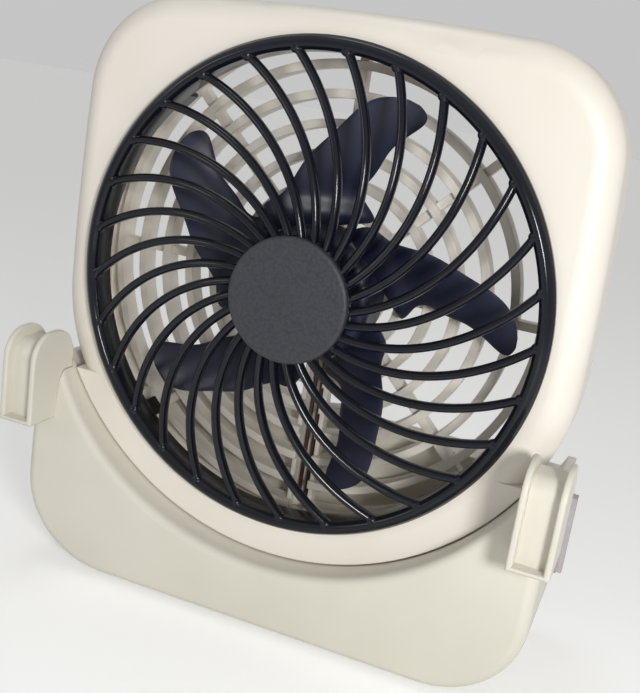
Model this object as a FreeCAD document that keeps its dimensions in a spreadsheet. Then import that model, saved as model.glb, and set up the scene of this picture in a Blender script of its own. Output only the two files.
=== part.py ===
# Portable camping fan: a square tilting head in a low battery base, with a five-blade impeller.
# Frame: X to the right, Y to the back, Z up. The pieces are drawn about the centre of the
# front ring, and one shared placement lifts them to stand on the floor about the origin.

import FreeCAD, Part
import math
import os
import Sketcher

doc = FreeCAD.newDocument("CampingFan")
Vector = FreeCAD.Vector

# Driving dimensions, in millimetres and degrees
dimensions = [
    ("ringRadius", 73, "outer radius of the front ring"),
    ("ringFlange", 2.4, "part of the ring that lies on the face, past the opening"),
    ("ringBand", 4.4, "radial width of the ring"),
    ("ringCrown", 3.4, "ring stands this far in front of its plane"),
    ("ringLip", 0.9, "outer edge of the ring in front of its plane"),
    ("ringBevel", 0.7, "bevel outside the crown of the ring"),
    ("bevelRise", 0.3, "rise of that bevel"),
    ("skirtDepth", 6, "skirt of the ring, behind its plane"),
    ("headMargin", 9.5, "side of the head past the ring"),
    ("headTopMargin", 7.5, "top of the head past the ring"),
    ("headLowSwell", 3.5, "round underside of the head past its half width"),
    ("sideCurve", 800, "radius of the slight bow of the sides"),
    ("topCurve", 900, "radius of the slight bow of the top"),
    ("headCorner", 31, "upper corner radius"),
    ("hipRound", 60, "blend from the side to the round underside"),
    ("faceRound", 8, "round-over of the front edge"),
    ("rearRound", 2.4, "round-over of the rear edge"),
    ("headWall", 2, "wall of the head shells"),
    ("faceSetback", 0.6, "face of the head behind the ring plane"),
    ("headBack", 28.5, "back of the head behind the ring plane"),
    ("headParting", 16, "joint of the two head shells behind the ring plane"),
    ("rearMargin", 4.6, "round opening in the rear shell past the ring"),
    ("fitGap", 0.1, "gap between seated pieces"),
    ("runGap", 0.4, "gap round a piece that moves"),
    ("ribCount", 29, "curved ribs of the front grille"),
    ("ribWidth", 2.5, "rib width seen from the front"),
    ("ribDepth", 3.8, "rib depth, front to back"),
    ("ribSweep", 37.4, "turn of a rib from the hub to the ring"),
    ("ribFall", 7.6, "rib centre line falls back this far from the hub to the ring"),
    ("ribRise", 0.6, "rib centre line at the ring, in front of the ring plane"),
    ("ribNub", 1.7, "radius of the nub where a rib meets the ring"),
    ("nubProud", 0.9, "middle of a nub in front of the rib centre line"),
    ("ribCurl", 0.93, "evenness of the turn along a rib, 1 is even"),
    ("ribRoot", 0.6, "inner end of a rib inside the hub"),
    ("ribFoot", 0.8, "outer end of a rib inside the ring band"),
    ("hubRadius", 18.25, "radius of the hub disc of the front grille"),
    ("hubFace", 12, "front of the hub disc, in front of the ring plane"),
    ("hubCapDepth", 1.9, "thickness of the textured hub disc"),
    ("hubDepth", 3.6, "thickness of the hub under its disc"),
    ("hubEdge", 1.1, "round-over of the hub disc"),
    ("clipCount", 4, "snap clips on the skirt"),
    ("clipWidth", 6, "width of a clip"),
    ("clipLength", 6, "clip behind the skirt"),
    ("clipThickness", 1.6, "clip thickness"),
    ("clipRoot", 1, "clip rooted in the skirt"),
    ("barCount", 7, "concentric bars of the rear grille"),
    ("firstBar", 23.3, "radius of the innermost bar"),
    ("barInset", 2.1, "outermost bar inside the rear opening"),
    ("barWidth", 2.6, "radial width of a bar"),
    ("barDepth", 6, "depth of a bar"),
    ("plateDepth", 2.5, "depth of the motor mount plate behind its spokes"),
    ("spokeCount", 8, "spokes of the rear grille"),
    ("spokeWidth", 2.6, "width of a spoke"),
    ("spokeRise", 1.6, "spokes in front of the mount plate"),
    ("spokeLap", 0.8, "lap of a spoke on the rear shell past its opening"),
    ("mountRadius", 18, "radius of the motor mount plate"),
    ("leadSlot", 5.6, "clear width of the lead channel"),
    ("leadWall", 1.5, "side wall of the lead channel"),
    ("leadFloor", 0.7, "back wall of the lead channel"),
    ("leadRadius", 0.7, "radius of a motor lead"),
    ("leadSpread", 1.2, "middle of a lead from the middle of the channel"),
    ("leadEnd", 4, "leads end short of the rear opening"),
    ("terminalDrop", 3.2, "terminals below the motor can"),
    ("terminalWidth", 2, "terminal width"),
    ("terminalThickness", 0.5, "terminal thickness"),
    ("terminalSpread", 2, "terminal from the middle"),
    ("bladeCount", 5, "blades of the impeller"),
    ("tipClearance", 10.8, "blade tips inside the ring"),
    ("bladeRootChord", 30, "chord at the hub"),
    ("bladeTipChord", 17.5, "chord just inside the tip"),
    ("chordEvenFrom", 0.6, "share of the blade past which its chord is even"),
    ("tipRoundStart", 0.85, "share of the blade past which its tip rounds off"),
    ("tipFlat", 0.2, "share of the chord left at the very tip"),
    ("bladeTaper", 0.45, "loss of thickness from root to tip"),
    ("bladeCurl", 0.85, "evenness of the lean along a blade, 1 is even"),
    ("bladeThickness", 1.9, "blade thickness"),
    ("bladePitchRoot", 34, "pitch at the hub"),
    ("bladePitchTip", 20, "pitch at the tip"),
    ("bladeLean", 32, "turn of the blade centre line from hub to tip"),
    ("bladeTipAngle", 70, "direction of the first tip, from +X"),
    ("bladePlane", 10.5, "blade centre line behind the ring plane"),
    ("impellerHub", 20, "radius of the impeller hub"),
    ("impellerWall", 2, "wall of the impeller hub"),
    ("impellerFront", 1.5, "front of the impeller hub behind the ring plane"),
    ("impellerDepth", 15, "depth of the impeller hub"),
    ("impellerRound", 3, "round-over of the impeller hub"),
    ("bossWidth", 2.6, "wall of the shaft boss"),
    ("bossDepth", 4.6, "depth of the shaft boss"),
    ("shaftFit", 0.02, "shaft to its boss"),
    ("motorRadius", 13.5, "motor can radius"),
    ("motorLength", 16.5, "motor can length"),
    ("motorWall", 1, "motor can wall"),
    ("motorCapDepth", 1.2, "motor end cap thickness"),
    ("shaftRadius", 1, "motor shaft radius"),
    ("armatureGap", 0.8, "armature to motor can"),
    ("tiltY", 14, "tilt axis behind the ring plane"),
    ("tiltZ", -51, "tilt axis from the ring centre"),
    ("pinRadius", 4, "tilt pin radius"),
    ("pinFit", 0.06, "running clearance of a tilt pin in its bush"),
    ("pinReach", 29, "inner end of a tilt pin from the side of the base"),
    ("collarDepth", 3, "collar length of a tilt pin"),
    ("bushSetback", 11, "bush outside the inner end of its pin"),
    ("pinCollar", 5.6, "collar radius of a tilt pin"),
    ("bushWall", 2.9, "wall of the tilt bush"),
    ("baseMargin", 1.1, "side of the base past the head"),
    ("baseUnder", 19.4, "underside of the base below the head"),
    ("baseTop", -38, "top of the base sides from the ring centre"),
    ("baseBack", 50, "back of the base behind the ring plane"),
    ("baseCorner", 29, "lower corner radius of the base"),
    ("baseWall", 2.2, "wall of the base"),
    ("baseParting", 16, "joint of the two base shells behind the ring plane"),
    ("cradleCurve", 190, "radius of the full cradle face, seen from the side"),
    ("cradleCrownY", 9.5, "cradle face at its fullest, in front of the ring plane"),
    ("cradleCrownZ", -72, "height of the fullest place from the ring centre"),
    ("seamCentre", 3, "centre of the round underside and cradle edge above the ring centre"),
    ("seamGap", 0.4, "round underside of the head to the cradle edge"),
    ("seamBack", 1.8, "back of the cradle edge behind the ring plane"),
    ("seamRound", 2.5, "roll of the cradle edge"),
    ("edgeRound", 3.5, "round-over of the outer edge of the cradle"),
    ("rearEdge", 2.4, "round-over of the rear edges of the base"),
    ("lowFaceSunk", 0.05, "flat lower part behind the face and inside the round underside"),
    ("lowFaceTrim", 0.8, "flat lower part shorter than the round that it fills"),
    ("flatTop", -40, "top of the flat lower part of the face, from the ring centre"),
    ("deckGap", 3.6, "round underside of the head to the deck of the base"),
    ("deckWall", 1.3, "wall of the deck"),
    ("wellBack", 33, "back of the well that the head sits in"),
    ("shelfTop", -46.5, "shelf behind the well from the ring centre"),
    ("earSunk", 8.6, "inner face of an ear inside the side of the base"),
    ("earProud", 3.2, "outer face of an ear past the side of the base"),
    ("earFloor", -55, "lower end of an ear from the ring centre"),
    ("earTop", -26, "top of an ear from the ring centre"),
    ("earFront", 21, "front edge of an ear, in front of the ring plane"),
    ("earBack", 0.8, "back of an ear, in front of the ring plane"),
    ("earWall", 1.8, "flange of an ear"),
    ("earRadius", 8.9, "round top of an ear"),
    ("earRecess", 3.5, "depth of the channel between the flanges"),
    ("cellRadius", 13.1, "battery cell radius"),
    ("cellLength", 50, "battery cell length"),
    ("cellInset", 20.9, "cell axis from the side of the base"),
    ("cellLift", 20.5, "cell axis above the underside of the base"),
    ("tubeFit", 0.3, "cell to its tube"),
    ("tubeWall", 1, "wall of a battery tube"),
    ("tubeFront", 4.9, "closed end of a battery tube in front of the ring plane"),
    ("contactDepth", 0.4, "contact plate thickness"),
    ("capRadius", 14.2, "battery cap radius"),
    ("capDepth", 1.8, "battery cap thickness"),
    ("coinWidth", 2.4, "width of the coin slot"),
    ("coinLength", 20, "length of the coin slot"),
    ("coinDepth", 1.1, "depth of the coin slot"),
    ("knobY", 29, "speed knob axis behind the ring plane"),
    ("knobZ", -61, "speed knob axis from the ring centre"),
    ("knobRadius", 12.5, "speed knob radius"),
    ("knobDisc", 1.3, "speed knob disc thickness"),
    ("knobBar", 4, "width of the grip bar"),
    ("spindleRadius", 1.9, "switch spindle radius"),
    ("switchWidth", 14, "switch body, front to back"),
    ("switchHeight", 10, "switch body height"),
    ("switchDepth", 5, "switch body depth"),
    ("switchRise", 7, "top of the switch body above its spindle"),
    ("jackWidth", 9, "power socket body width and height"),
    ("jackDepth", 11, "power socket body depth"),
    ("jackBore", 2.8, "power socket bore radius"),
    ("jackPin", 0.65, "power socket pin radius"),
    ("jackLift", 8.4, "power socket axis above the underside of the base"),
    ("footRadius", 5, "rubber foot radius"),
    ("footDepth", 1.6, "rubber foot thickness"),
    ("footSunk", 0.4, "rubber foot sunk into the base"),
    ("footX", 46, "foot from the middle"),
    ("footFrontY", 5, "front feet behind the ring plane"),
    ("footInset", 10, "rear feet from the back of the base"),
    ("screwRadius", 1.4, "screw shank radius"),
    ("screwHead", 2.8, "screw head radius"),
    ("screwHeadDepth", 1.6, "screw head thickness"),
    ("bossWall", 2, "wall of a screw boss round the shank"),
    ("headScrewLength", 20, "head screw length"),
    ("screwTipGap", 1, "bore past the tip of a screw"),
    ("baseScrewLength", 40, "base screw length"),
    ("topScrewInset", 17.5, "upper head screws from the side and the top"),
        ("innerScrewX", 33, "inner base screws from the middle"),
    ("innerScrewLift", 7.8, "inner base screws above the underside"),
    ("outerScrewInset", 6.6, "outer base screws from the side"),
    ("outerScrewZ", -69.5, "outer base screws from the ring centre"),
    ("motorScrewSpan", 8, "motor screws from the shaft"),
    ("motorScrewLength", 4.6, "motor screw length"),
    ("earEdge", 0.6, "round-over of the flanges of an ear"),
    ("earLip", 1.2, "lip at the lower end of an ear"),
    ("tubeEnd", 0.8, "closed end of a battery tube"),
    ("contactRadius", 8, "contact plate radius"),
    ("cellNub", 3.5, "radius of the nub of a cell"),
    ("cellNubDepth", 1.5, "height of the nub of a cell"),
    ("springRadius", 6, "battery spring radius"),
    ("jackRim", 0.6, "rim of the power socket"),
]
sizes = doc.addObject("Spreadsheet::Sheet", "sizes")
for row, (alias, value, note) in enumerate(dimensions, start=1):
    sizes.set("A%d" % row, note)
    sizes.set("B%d" % row, str(value))
    sizes.setAlias("B%d" % row, alias)
doc.recompute()


# Sizes that follow from the driving ones, as text for the bindings
head_half = "(sizes.ringRadius + sizes.headMargin)"
head_top = "(sizes.ringRadius + sizes.headTopMargin)"
low_radius = "(" + head_half + " + sizes.headLowSwell)"
rear_opening = "(sizes.ringRadius + sizes.rearMargin)"
bar_pitch = "((" + rear_opening + " - sizes.barInset - sizes.firstBar) / (sizes.barCount - 1))"
blade_tip = "(sizes.ringRadius - sizes.tipClearance)"
seam_radius = "(" + low_radius + " + sizes.seamGap)"
base_half = "(" + head_half + " + sizes.baseMargin)"
base_floor = "(0 - " + low_radius + " - sizes.baseUnder)"
ear_inner = "(" + base_half + " - sizes.earSunk)"
ear_outer = "(" + base_half + " + sizes.earProud)"
pin_inner = "(" + base_half + " - sizes.pinReach)"
cell_across = "(" + base_half + " - sizes.cellInset)"
cell_height = "(" + base_floor + " + sizes.cellLift)"
jack_height = "(" + base_floor + " + sizes.jackLift)"
foot_rear = "(sizes.baseBack - sizes.footInset)"
top_screw_x = "(" + head_half + " - sizes.topScrewInset)"
top_screw_z = "(" + head_top + " - sizes.topScrewInset)"
inner_screw_z = "(" + base_floor + " + sizes.innerScrewLift)"
outer_screw_x = "(" + base_half + " - sizes.outerScrewInset)"


def size(alias):
    return float(sizes.get(alias))


def value_of(text):
    """The number that a size expression stands for, to start a sketch near its answer."""
    return float(sizes.evalExpression(text))


def bind(item, **expressions):
    for name, text in expressions.items():
        item.setExpression(name, text)


places = {}


def move_to(item, x="0", y="0", z="0"):
    places[item.Name] = (x, y, z)
    item.setExpression("Placement.Base.x", x)
    item.setExpression("Placement.Base.y", y)
    item.setExpression("Placement.Base.z", z)


pieces = []


def keep(item, label):
    """Name a finished sub-part and stand it in the shared frame."""
    item.Label = label
    ring_plane = " + (sizes.earFront - sizes.baseBack) / 2"
    ring_height = " + sizes.footDepth - sizes.footSunk - " + base_floor
    x, y, z = places.get(item.Name, ("0", "0", "0"))
    move_to(item, x, y + ring_plane, z + ring_height)
    pieces.append(item)
    return item


# Primitives, each placed about the ring centre
turns = {
    "x": FreeCAD.Rotation(Vector(0, 1, 0), 90),
    "y": FreeCAD.Rotation(Vector(1, 0, 0), -90),
    "z": FreeCAD.Rotation(),
}


def cylinder(name, radius, length, x="0", y="0", z="0", along="y"):
    item = doc.addObject("Part::Cylinder", name)
    item.Placement = FreeCAD.Placement(Vector(), turns[along])
    bind(item, Radius=radius, Height=length)
    move_to(item, x, y, z)
    return item


def box(name, length, width, height, x="0", y="0", z="0"):
    item = doc.addObject("Part::Box", name)
    bind(item, Length=length, Width=width, Height=height)
    move_to(item, x, y, z)
    return item


def cut(name, base, tool):
    item = doc.addObject("Part::Cut", name)
    item.Base = base
    item.Tool = tool
    return item


def join(name, items):
    item = doc.addObject("Part::MultiFuse", name)
    item.Shapes = items
    return item


def overlap_of(name, items):
    item = doc.addObject("Part::MultiCommon", name)
    item.Shapes = items
    return item


def group(name, items):
    item = doc.addObject("Part::Compound", name)
    item.Links = items
    return item


def solid_feature(name, shape):
    item = doc.addObject("Part::Feature", name)
    item.Shape = shape
    return item


def rounded(name, base, radius, wanted):
    """Fillet the edges of base that pass the wanted test."""
    doc.recompute()
    item = doc.addObject("Part::Fillet", name)
    item.Base = base
    edges = base.Shape.Edges
    item.Edges = [(i + 1, radius, radius) for i, edge in enumerate(edges) if wanted(edge)]
    return item


# Sketched bodies
def new_body(name):
    return doc.addObject("PartDesign::Body", name)


def origin_part(body, role):
    return next(item for item in body.Origin.OriginFeatures if item.Role == role)


def new_sketch(body, name, role, shift="0"):
    sketch = body.newObject("Sketcher::SketchObject", name)
    sketch.AttachmentSupport = (origin_part(body, role), [""])
    sketch.MapMode = "FlatFace"
    sketch.setExpression("AttachmentOffset.Base.z", shift)
    return sketch


def fix_point(sketch, geometry, position, x, z):
    """Tie a point of a sketch to two size expressions, measured from the sketch origin."""
    for kind, axis, text in (("DistanceX", -2, x), ("DistanceY", -1, z)):
        if text == "0":
            sketch.addConstraint(Sketcher.Constraint("PointOnObject", geometry, position, axis))
            continue
        start = value_of(text)
        number = sketch.addConstraint(
            Sketcher.Constraint(kind, -1, 1, geometry, position, start))
        sketch.setExpression("Constraints[%d]" % number, text)


def add_circle(sketch, x, z, radius):
    centre = Vector(value_of(x), value_of(z), 0)
    shape = Part.Circle(centre, Vector(0, 0, 1), value_of(radius))
    number = sketch.addGeometry(shape, False)
    tie = sketch.addConstraint(Sketcher.Constraint("Radius", number, value_of(radius)))
    sketch.setExpression("Constraints[%d]" % tie, radius)
    fix_point(sketch, number, 3, x, z)


def add_rectangle(sketch, x0, x1, z0, z1):
    """A rectangle between four size expressions."""
    a, b, c, d = (value_of(text) for text in (x0, x1, z0, z1))
    corners = [Vector(a, c, 0), Vector(b, c, 0), Vector(b, d, 0), Vector(a, d, 0)]
    first = sketch.GeometryCount
    for i in range(4):
        sketch.addGeometry(Part.LineSegment(corners[i], corners[(i + 1) % 4]), False)
    for i in range(4):
        sketch.addConstraint(
            Sketcher.Constraint("Coincident", first + i, 2, first + (i + 1) % 4, 1))
        level = "Horizontal" if i % 2 == 0 else "Vertical"
        sketch.addConstraint(Sketcher.Constraint(level, first + i))
    fix_point(sketch, first, 1, x0, z0)
    fix_point(sketch, first + 2, 1, x1, z1)


def pad(body, sketch, length, name):
    item = body.newObject("PartDesign::Pad", name)
    item.Profile = sketch
    bind(item, Length=length)
    body.Tip = item
    return item


def pocket_through(body, sketch, name):
    """Cut the sketch through the whole body, both ways."""
    item = body.newObject("PartDesign::Pocket", name)
    item.Profile = sketch
    item.Type = 1
    item.Midplane = True
    body.Tip = item
    return item


def round_edges(body, feature, radius, name, wanted):
    doc.recompute()
    names = ["Edge%d" % (i + 1) for i, edge in enumerate(feature.Shape.Edges) if wanted(edge)]
    item = body.newObject("PartDesign::Fillet", name)
    item.Base = (feature, names)
    bind(item, Radius=radius)
    body.Tip = item
    return item


def spans(edge, axis):
    """Length of an edge's box along one axis."""
    box_of_edge = edge.BoundBox
    return {"x": box_of_edge.XLength, "y": box_of_edge.YLength, "z": box_of_edge.ZLength}[axis]


def runs_along_y(edge):
    return spans(edge, "x") < 0.01 and spans(edge, "z") < 0.01


def in_plane_y(edge, y):
    middle = (edge.BoundBox.YMin + edge.BoundBox.YMax) / 2
    return spans(edge, "y") < 0.01 and abs(middle - y) < 0.01


# Head shells
def head_outline(sketch):
    """Bowed top and sides on a round underside, as four arcs that meet at the corners."""
    side_shift = size("sideCurve") - value_of(head_half)
    top_shift = size("topCurve") - value_of(head_top)
    top_angle = math.asin(value_of(head_half) / size("topCurve"))
    side_angle = math.asin(value_of(head_top) / size("sideCurve"))
    hip_angle = math.acos(value_of(head_half) / value_of(low_radius))
    hip_drop = value_of(low_radius) * math.sin(hip_angle) - size("seamCentre")
    hip_side = math.asin(hip_drop / size("sideCurve"))
    half = math.pi / 2
    arcs = [
        ("0", head_top + " - sizes.topCurve", "sizes.topCurve",
         (0, -top_shift), half - top_angle, half + top_angle),
        ("sizes.sideCurve - " + head_half, "0", "sizes.sideCurve",
         (side_shift, 0), math.pi - side_angle, math.pi + hip_side),
        ("0", "sizes.seamCentre", low_radius,
         (0, size("seamCentre")), math.pi + hip_angle, 2 * math.pi - hip_angle),
        (head_half + " - sizes.sideCurve", "0", "sizes.sideCurve",
         (-side_shift, 0), -hip_side, side_angle),
    ]
    for x, z, radius, centre, start, end in arcs:
        circle = Part.Circle(Vector(centre[0], centre[1], 0), Vector(0, 0, 1), value_of(radius))
        number = sketch.addGeometry(Part.ArcOfCircle(circle, start, end), False)
        tie = sketch.addConstraint(Sketcher.Constraint("Radius", number, value_of(radius)))
        sketch.setExpression("Constraints[%d]" % tie, radius)
        fix_point(sketch, number, 3, x, z)
    for i in range(4):
        sketch.addConstraint(Sketcher.Constraint("Coincident", i, 2, (i + 1) % 4, 1))


head_screws_at = [
    (top_screw_x, top_screw_z),
    ("-" + top_screw_x, top_screw_z),
]


def head_shell(name, back, front, hollow_face_y, round_y, round_radius):
    """One half of the head: the outline, its rounded edges, and the space inside."""
    body = new_body(name)
    sketch = new_sketch(body, name + "_outline", "XZ_Plane", "-" + back)
    head_outline(sketch)
    block = pad(body, sketch, back + " - " + front, name + "_block")
    doc.recompute()

    def upper_corner(edge):
        return runs_along_y(edge) and edge.BoundBox.ZMin > 0

    def hip_corner(edge):
        return runs_along_y(edge) and edge.BoundBox.ZMin < 0

    corners = round_edges(body, block, "sizes.headCorner", name + "_corners", upper_corner)
    hips = round_edges(body, corners, "sizes.hipRound", name + "_hips", hip_corner)
    doc.recompute()
    edge_y = value_of(round_y)
    rim = round_edges(body, hips, round_radius, name + "_rim",
                      lambda edge: in_plane_y(edge, edge_y))
    doc.recompute()
    open_y = value_of(hollow_face_y)
    open_face = next("Face%d" % (i + 1) for i, face in enumerate(rim.Shape.Faces)
                     if face.BoundBox.YLength < 0.01 and abs(face.BoundBox.YMin - open_y) < 0.01)
    hollow = body.newObject("PartDesign::Thickness", name + "_hollow")
    hollow.Base = (rim, [open_face])
    hollow.Reversed = True
    bind(hollow, Value="sizes.headWall")
    body.Tip = hollow
    doc.recompute()
    return body


def add_posts(body, name, start, length, places, radius):
    """Round posts for the screws, from one plane towards the front."""
    sketch = new_sketch(body, name, "XZ_Plane", "-(" + start + ")")
    for x, z in places:
        add_circle(sketch, x, z, radius)
    return pad(body, sketch, length, name + "_posts")


def bore_through(body, name, places, radius):
    sketch = new_sketch(body, name, "XZ_Plane")
    for x, z in places:
        add_circle(sketch, x, z, radius)
    return pocket_through(body, sketch, name + "_bores")


def bore_sideways(body, name, y, z, radius):
    sketch = new_sketch(body, name, "YZ_Plane")
    add_circle(sketch, y, z, radius)
    return pocket_through(body, sketch, name + "_bore")


def sink(body, name, places, start, radius, depth):
    """Blind round pockets from one plane towards the front."""
    sketch = new_sketch(body, name, "XZ_Plane", "-(" + start + ")")
    for x, z in places:
        add_circle(sketch, x, z, radius)
    item = body.newObject("PartDesign::Pocket", name + "_pocket")
    item.Profile = sketch
    item.Reversed = True
    bind(item, Length=depth)
    body.Tip = item
    return item


shank_bore = "sizes.screwRadius + sizes.fitGap"
head_bore = "sizes.screwHead + sizes.fitGap"
post_radius = "sizes.screwRadius + sizes.bossWall"
low_face_depth = "(sizes.faceRound - sizes.lowFaceTrim)"
front_shell = head_shell("front_half_head", "sizes.headParting", "sizes.faceSetback",
                         "sizes.headParting", "sizes.faceSetback", "sizes.faceRound")
add_posts(front_shell, "front_post_sketch", "sizes.headParting",
          "sizes.headParting - sizes.faceSetback - sizes.headWall / 2",
          head_screws_at, post_radius)
sink(front_shell, "front_screw_bores", head_screws_at, "sizes.headParting", shank_bore,
     "sizes.headScrewLength - (sizes.headBack - sizes.headParting) + sizes.screwTipGap")
bore_through(front_shell, "front_opening", [("0", "0")], "sizes.ringRadius - sizes.ringFlange")
bore_sideways(front_shell, "front_pin_seat", "sizes.tiltY", "sizes.tiltZ",
              "sizes.pinRadius + sizes.fitGap")
low_face_inner = low_radius + " - sizes.faceRound"
low_disc = cylinder("low_disc", low_radius + " - sizes.lowFaceSunk", low_face_depth, "0",
                    "sizes.faceSetback + sizes.lowFaceSunk", "sizes.seamCentre")
low_hole = cylinder("low_hole", low_face_inner, low_face_depth + " * 3", "0",
                    "-" + low_face_depth, "sizes.seamCentre")
above_low = box("above_low", low_radius + " * 3", low_face_depth + " * 3",
                low_radius + " * 3", "-" + low_radius + " * 1.5", "-" + low_face_depth,
                "sizes.flatTop")
low_face = cut("low_face", low_disc, join("low_face_tools", [low_hole, above_low]))
keep(join("head_front_whole", [front_shell, low_face]), "head_front_shell")

rear_shell = head_shell("head_rear_shell", "sizes.headBack", "sizes.headParting",
                        "sizes.headParting", "sizes.headBack", "sizes.rearRound")
add_posts(rear_shell, "rear_post_sketch", "sizes.headBack - sizes.headWall / 2",
          "sizes.headBack - sizes.headParting - sizes.headWall / 2",
          head_screws_at, post_radius)
bore_through(rear_shell, "rear_opening", [("0", "0")], rear_opening)
bore_through(rear_shell, "rear_screw_holes", head_screws_at, shank_bore)
bore_sideways(rear_shell, "rear_pin_seat", "sizes.tiltY", "sizes.tiltZ",
              "sizes.pinRadius + sizes.fitGap")
sink(rear_shell, "rear_screw_sinks", head_screws_at, "sizes.headBack", head_bore,
     "sizes.screwHeadDepth")
keep(rear_shell, "head_rear_shell")


def screws(label, places, head_y, length):
    """A set of like screws, heads to the back, as separate solids in one piece."""
    items = []
    for i, (x, z) in enumerate(places):
        shank = cylinder("%s_shank%d" % (label, i), "sizes.screwRadius", length, x,
                         head_y + " - " + length, z)
        head = cylinder("%s_head%d" % (label, i), "sizes.screwHead", "sizes.screwHeadDepth", x,
                        head_y + " - sizes.screwHeadDepth", z)
        items.append(join("%s_%d" % (label, i), [shank, head]))
    return keep(group(label, items), label)


screws("head_screws", head_screws_at, "sizes.headBack", "sizes.headScrewLength")

# Rear grille: bars, spokes, the motor plate and the channel that holds the motor leads
rear_grille = new_body("rear_grille")
plate = new_sketch(rear_grille, "mount_sketch", "XZ_Plane", "-sizes.headBack")
add_circle(plate, "0", "0", "sizes.mountRadius")
pad(rear_grille, plate, "sizes.plateDepth + sizes.spokeRise", "mount_plate")
spoke_start = "sizes.mountRadius / 2"
inner_spoke = new_sketch(rear_grille, "spoke_sketch", "XZ_Plane",
                         "-(sizes.headBack - sizes.headWall)")
add_rectangle(inner_spoke, spoke_start, rear_opening + " + sizes.spokeLap",
              "-sizes.spokeWidth / 2", "sizes.spokeWidth / 2")
spoke = pad(rear_grille, inner_spoke,
            "sizes.plateDepth + sizes.spokeRise - sizes.headWall", "spoke")
outer_spoke = new_sketch(rear_grille, "spoke_foot_sketch", "XZ_Plane", "-sizes.headBack")
add_rectangle(outer_spoke, spoke_start, rear_opening + " - sizes.fitGap * 2",
              "-sizes.spokeWidth / 2", "sizes.spokeWidth / 2")
spoke_back = pad(rear_grille, outer_spoke, "sizes.headWall", "spoke_back")
spokes = rear_grille.newObject("PartDesign::PolarPattern", "spokes")
spokes.Originals = [spoke, spoke_back]
spokes.Axis = (origin_part(rear_grille, "Y_Axis"), [""])
spokes.Angle = 360
bind(spokes, Occurrences="sizes.spokeCount")
rear_grille.Tip = spokes
bars = new_sketch(rear_grille, "bar_sketch", "XZ_Plane", "-sizes.headBack")
for i in range(int(size("barCount"))):
    middle = "(sizes.firstBar + %d * %s)" % (i, bar_pitch)
    add_circle(bars, "0", "0", middle + " + sizes.barWidth / 2")
    add_circle(bars, "0", "0", middle + " - sizes.barWidth / 2")
pad(rear_grille, bars, "sizes.barDepth", "bars")
slot = new_sketch(rear_grille, "lead_slot_sketch", "XZ_Plane")
add_rectangle(slot, "-sizes.leadSlot / 2", "sizes.leadSlot / 2",
              "-(" + rear_opening + " + sizes.spokeWidth)", "-sizes.mountRadius + sizes.leadWall")
pocket_through(rear_grille, slot, "lead_slot")
for side in ("-", ""):
    wall_sketch = new_sketch(rear_grille, "lead_wall%s" % ("_left" if side else "_right"),
                             "XZ_Plane", "-sizes.headBack")
    near = side + "sizes.leadSlot / 2"
    far = side + "(sizes.leadSlot / 2 + sizes.leadWall)"
    low, high = (far, near) if side else (near, far)
    add_rectangle(wall_sketch, low, high, "-(" + rear_opening + " - sizes.runGap)",
                  "-sizes.mountRadius + sizes.leadWall")
    pad(rear_grille, wall_sketch, "sizes.plateDepth + sizes.spokeRise", wall_sketch.Name + "_pad")
floor_sketch = new_sketch(rear_grille, "lead_floor_sketch", "XZ_Plane", "-sizes.headBack")
add_rectangle(floor_sketch, "-sizes.leadSlot / 2 - sizes.leadWall / 2",
              "sizes.leadSlot / 2 + sizes.leadWall / 2",
              "-(" + rear_opening + " - sizes.runGap)", "-sizes.mountRadius + sizes.leadWall / 2")
pad(rear_grille, floor_sketch, "sizes.leadFloor", "lead_floor")
motor_screws_at = [("sizes.motorScrewSpan", "0"), ("-sizes.motorScrewSpan", "0")]
bore_through(rear_grille, "motor_screw_holes", motor_screws_at, shank_bore)
sink(rear_grille, "motor_screw_sinks", motor_screws_at, "sizes.headBack", head_bore,
     "sizes.screwHeadDepth")
keep(rear_grille, "rear_grille")


# Front grille: one moulding of a ring, curved ribs, a hub and its snap clips
def turned(profile_points, arcs=()):
    """Turn a closed outline of (radius, y) points about Y; arcs name the mid points."""
    edges = []
    count = len(profile_points)
    middles = dict(arcs)
    for i in range(count):
        a = profile_points[i]
        b = profile_points[(i + 1) % count]
        start = Vector(a[0], a[1], 0)
        end = Vector(b[0], b[1], 0)
        if i in middles:
            mid = Vector(middles[i][0], middles[i][1], 0)
            edges.append(Part.Arc(start, mid, end).toShape())
        else:
            edges.append(Part.makeLine(start, end))
    face = Part.Face(Part.Wire(edges))
    return face.revolve(Vector(), Vector(0, 1, 0), 360)


def about_y(shape, angle):
    turned_copy = shape.copy()
    turned_copy.rotate(Vector(), Vector(0, 1, 0), angle)
    return turned_copy


def grille_rib():
    """One rib: an oval section along a line that turns and falls back from hub to ring."""
    start = size("hubRadius") - size("ribRoot")
    end = size("ringRadius") - size("ringBand") + size("ribFoot")
    steps = 6
    points = []
    for i in range(steps + 1):
        share = i / steps
        radius = start + (end - start) * share
        angle = math.radians(size("ribSweep")) * share ** size("ribCurl")
        y = size("ribFall") * (share ** 2 - 1) - size("ribRise")
        points.append(Vector(radius * math.cos(angle), y, radius * math.sin(angle)))
    curve = Part.BSplineCurve()
    curve.interpolate(points)
    along = curve.tangent(curve.FirstParameter)[0]
    forward = Vector(0, -1, 0)
    turn = FreeCAD.Rotation(forward, along.cross(forward), along, "ZXY")
    oval = Part.Ellipse(Vector(), size("ribDepth") / 2, size("ribWidth") / 2).toShape()
    section = Part.Wire(oval)
    section.Placement = FreeCAD.Placement(points[0], turn)
    sweep = Part.BRepOffsetAPI.MakePipeShell(Part.Wire(curve.toShape()))
    sweep.setBiNormalMode(Vector(0, 1, 0))
    sweep.add(section)
    sweep.build()
    sweep.makeSolid()
    return sweep.shape(), points[-1]


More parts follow.
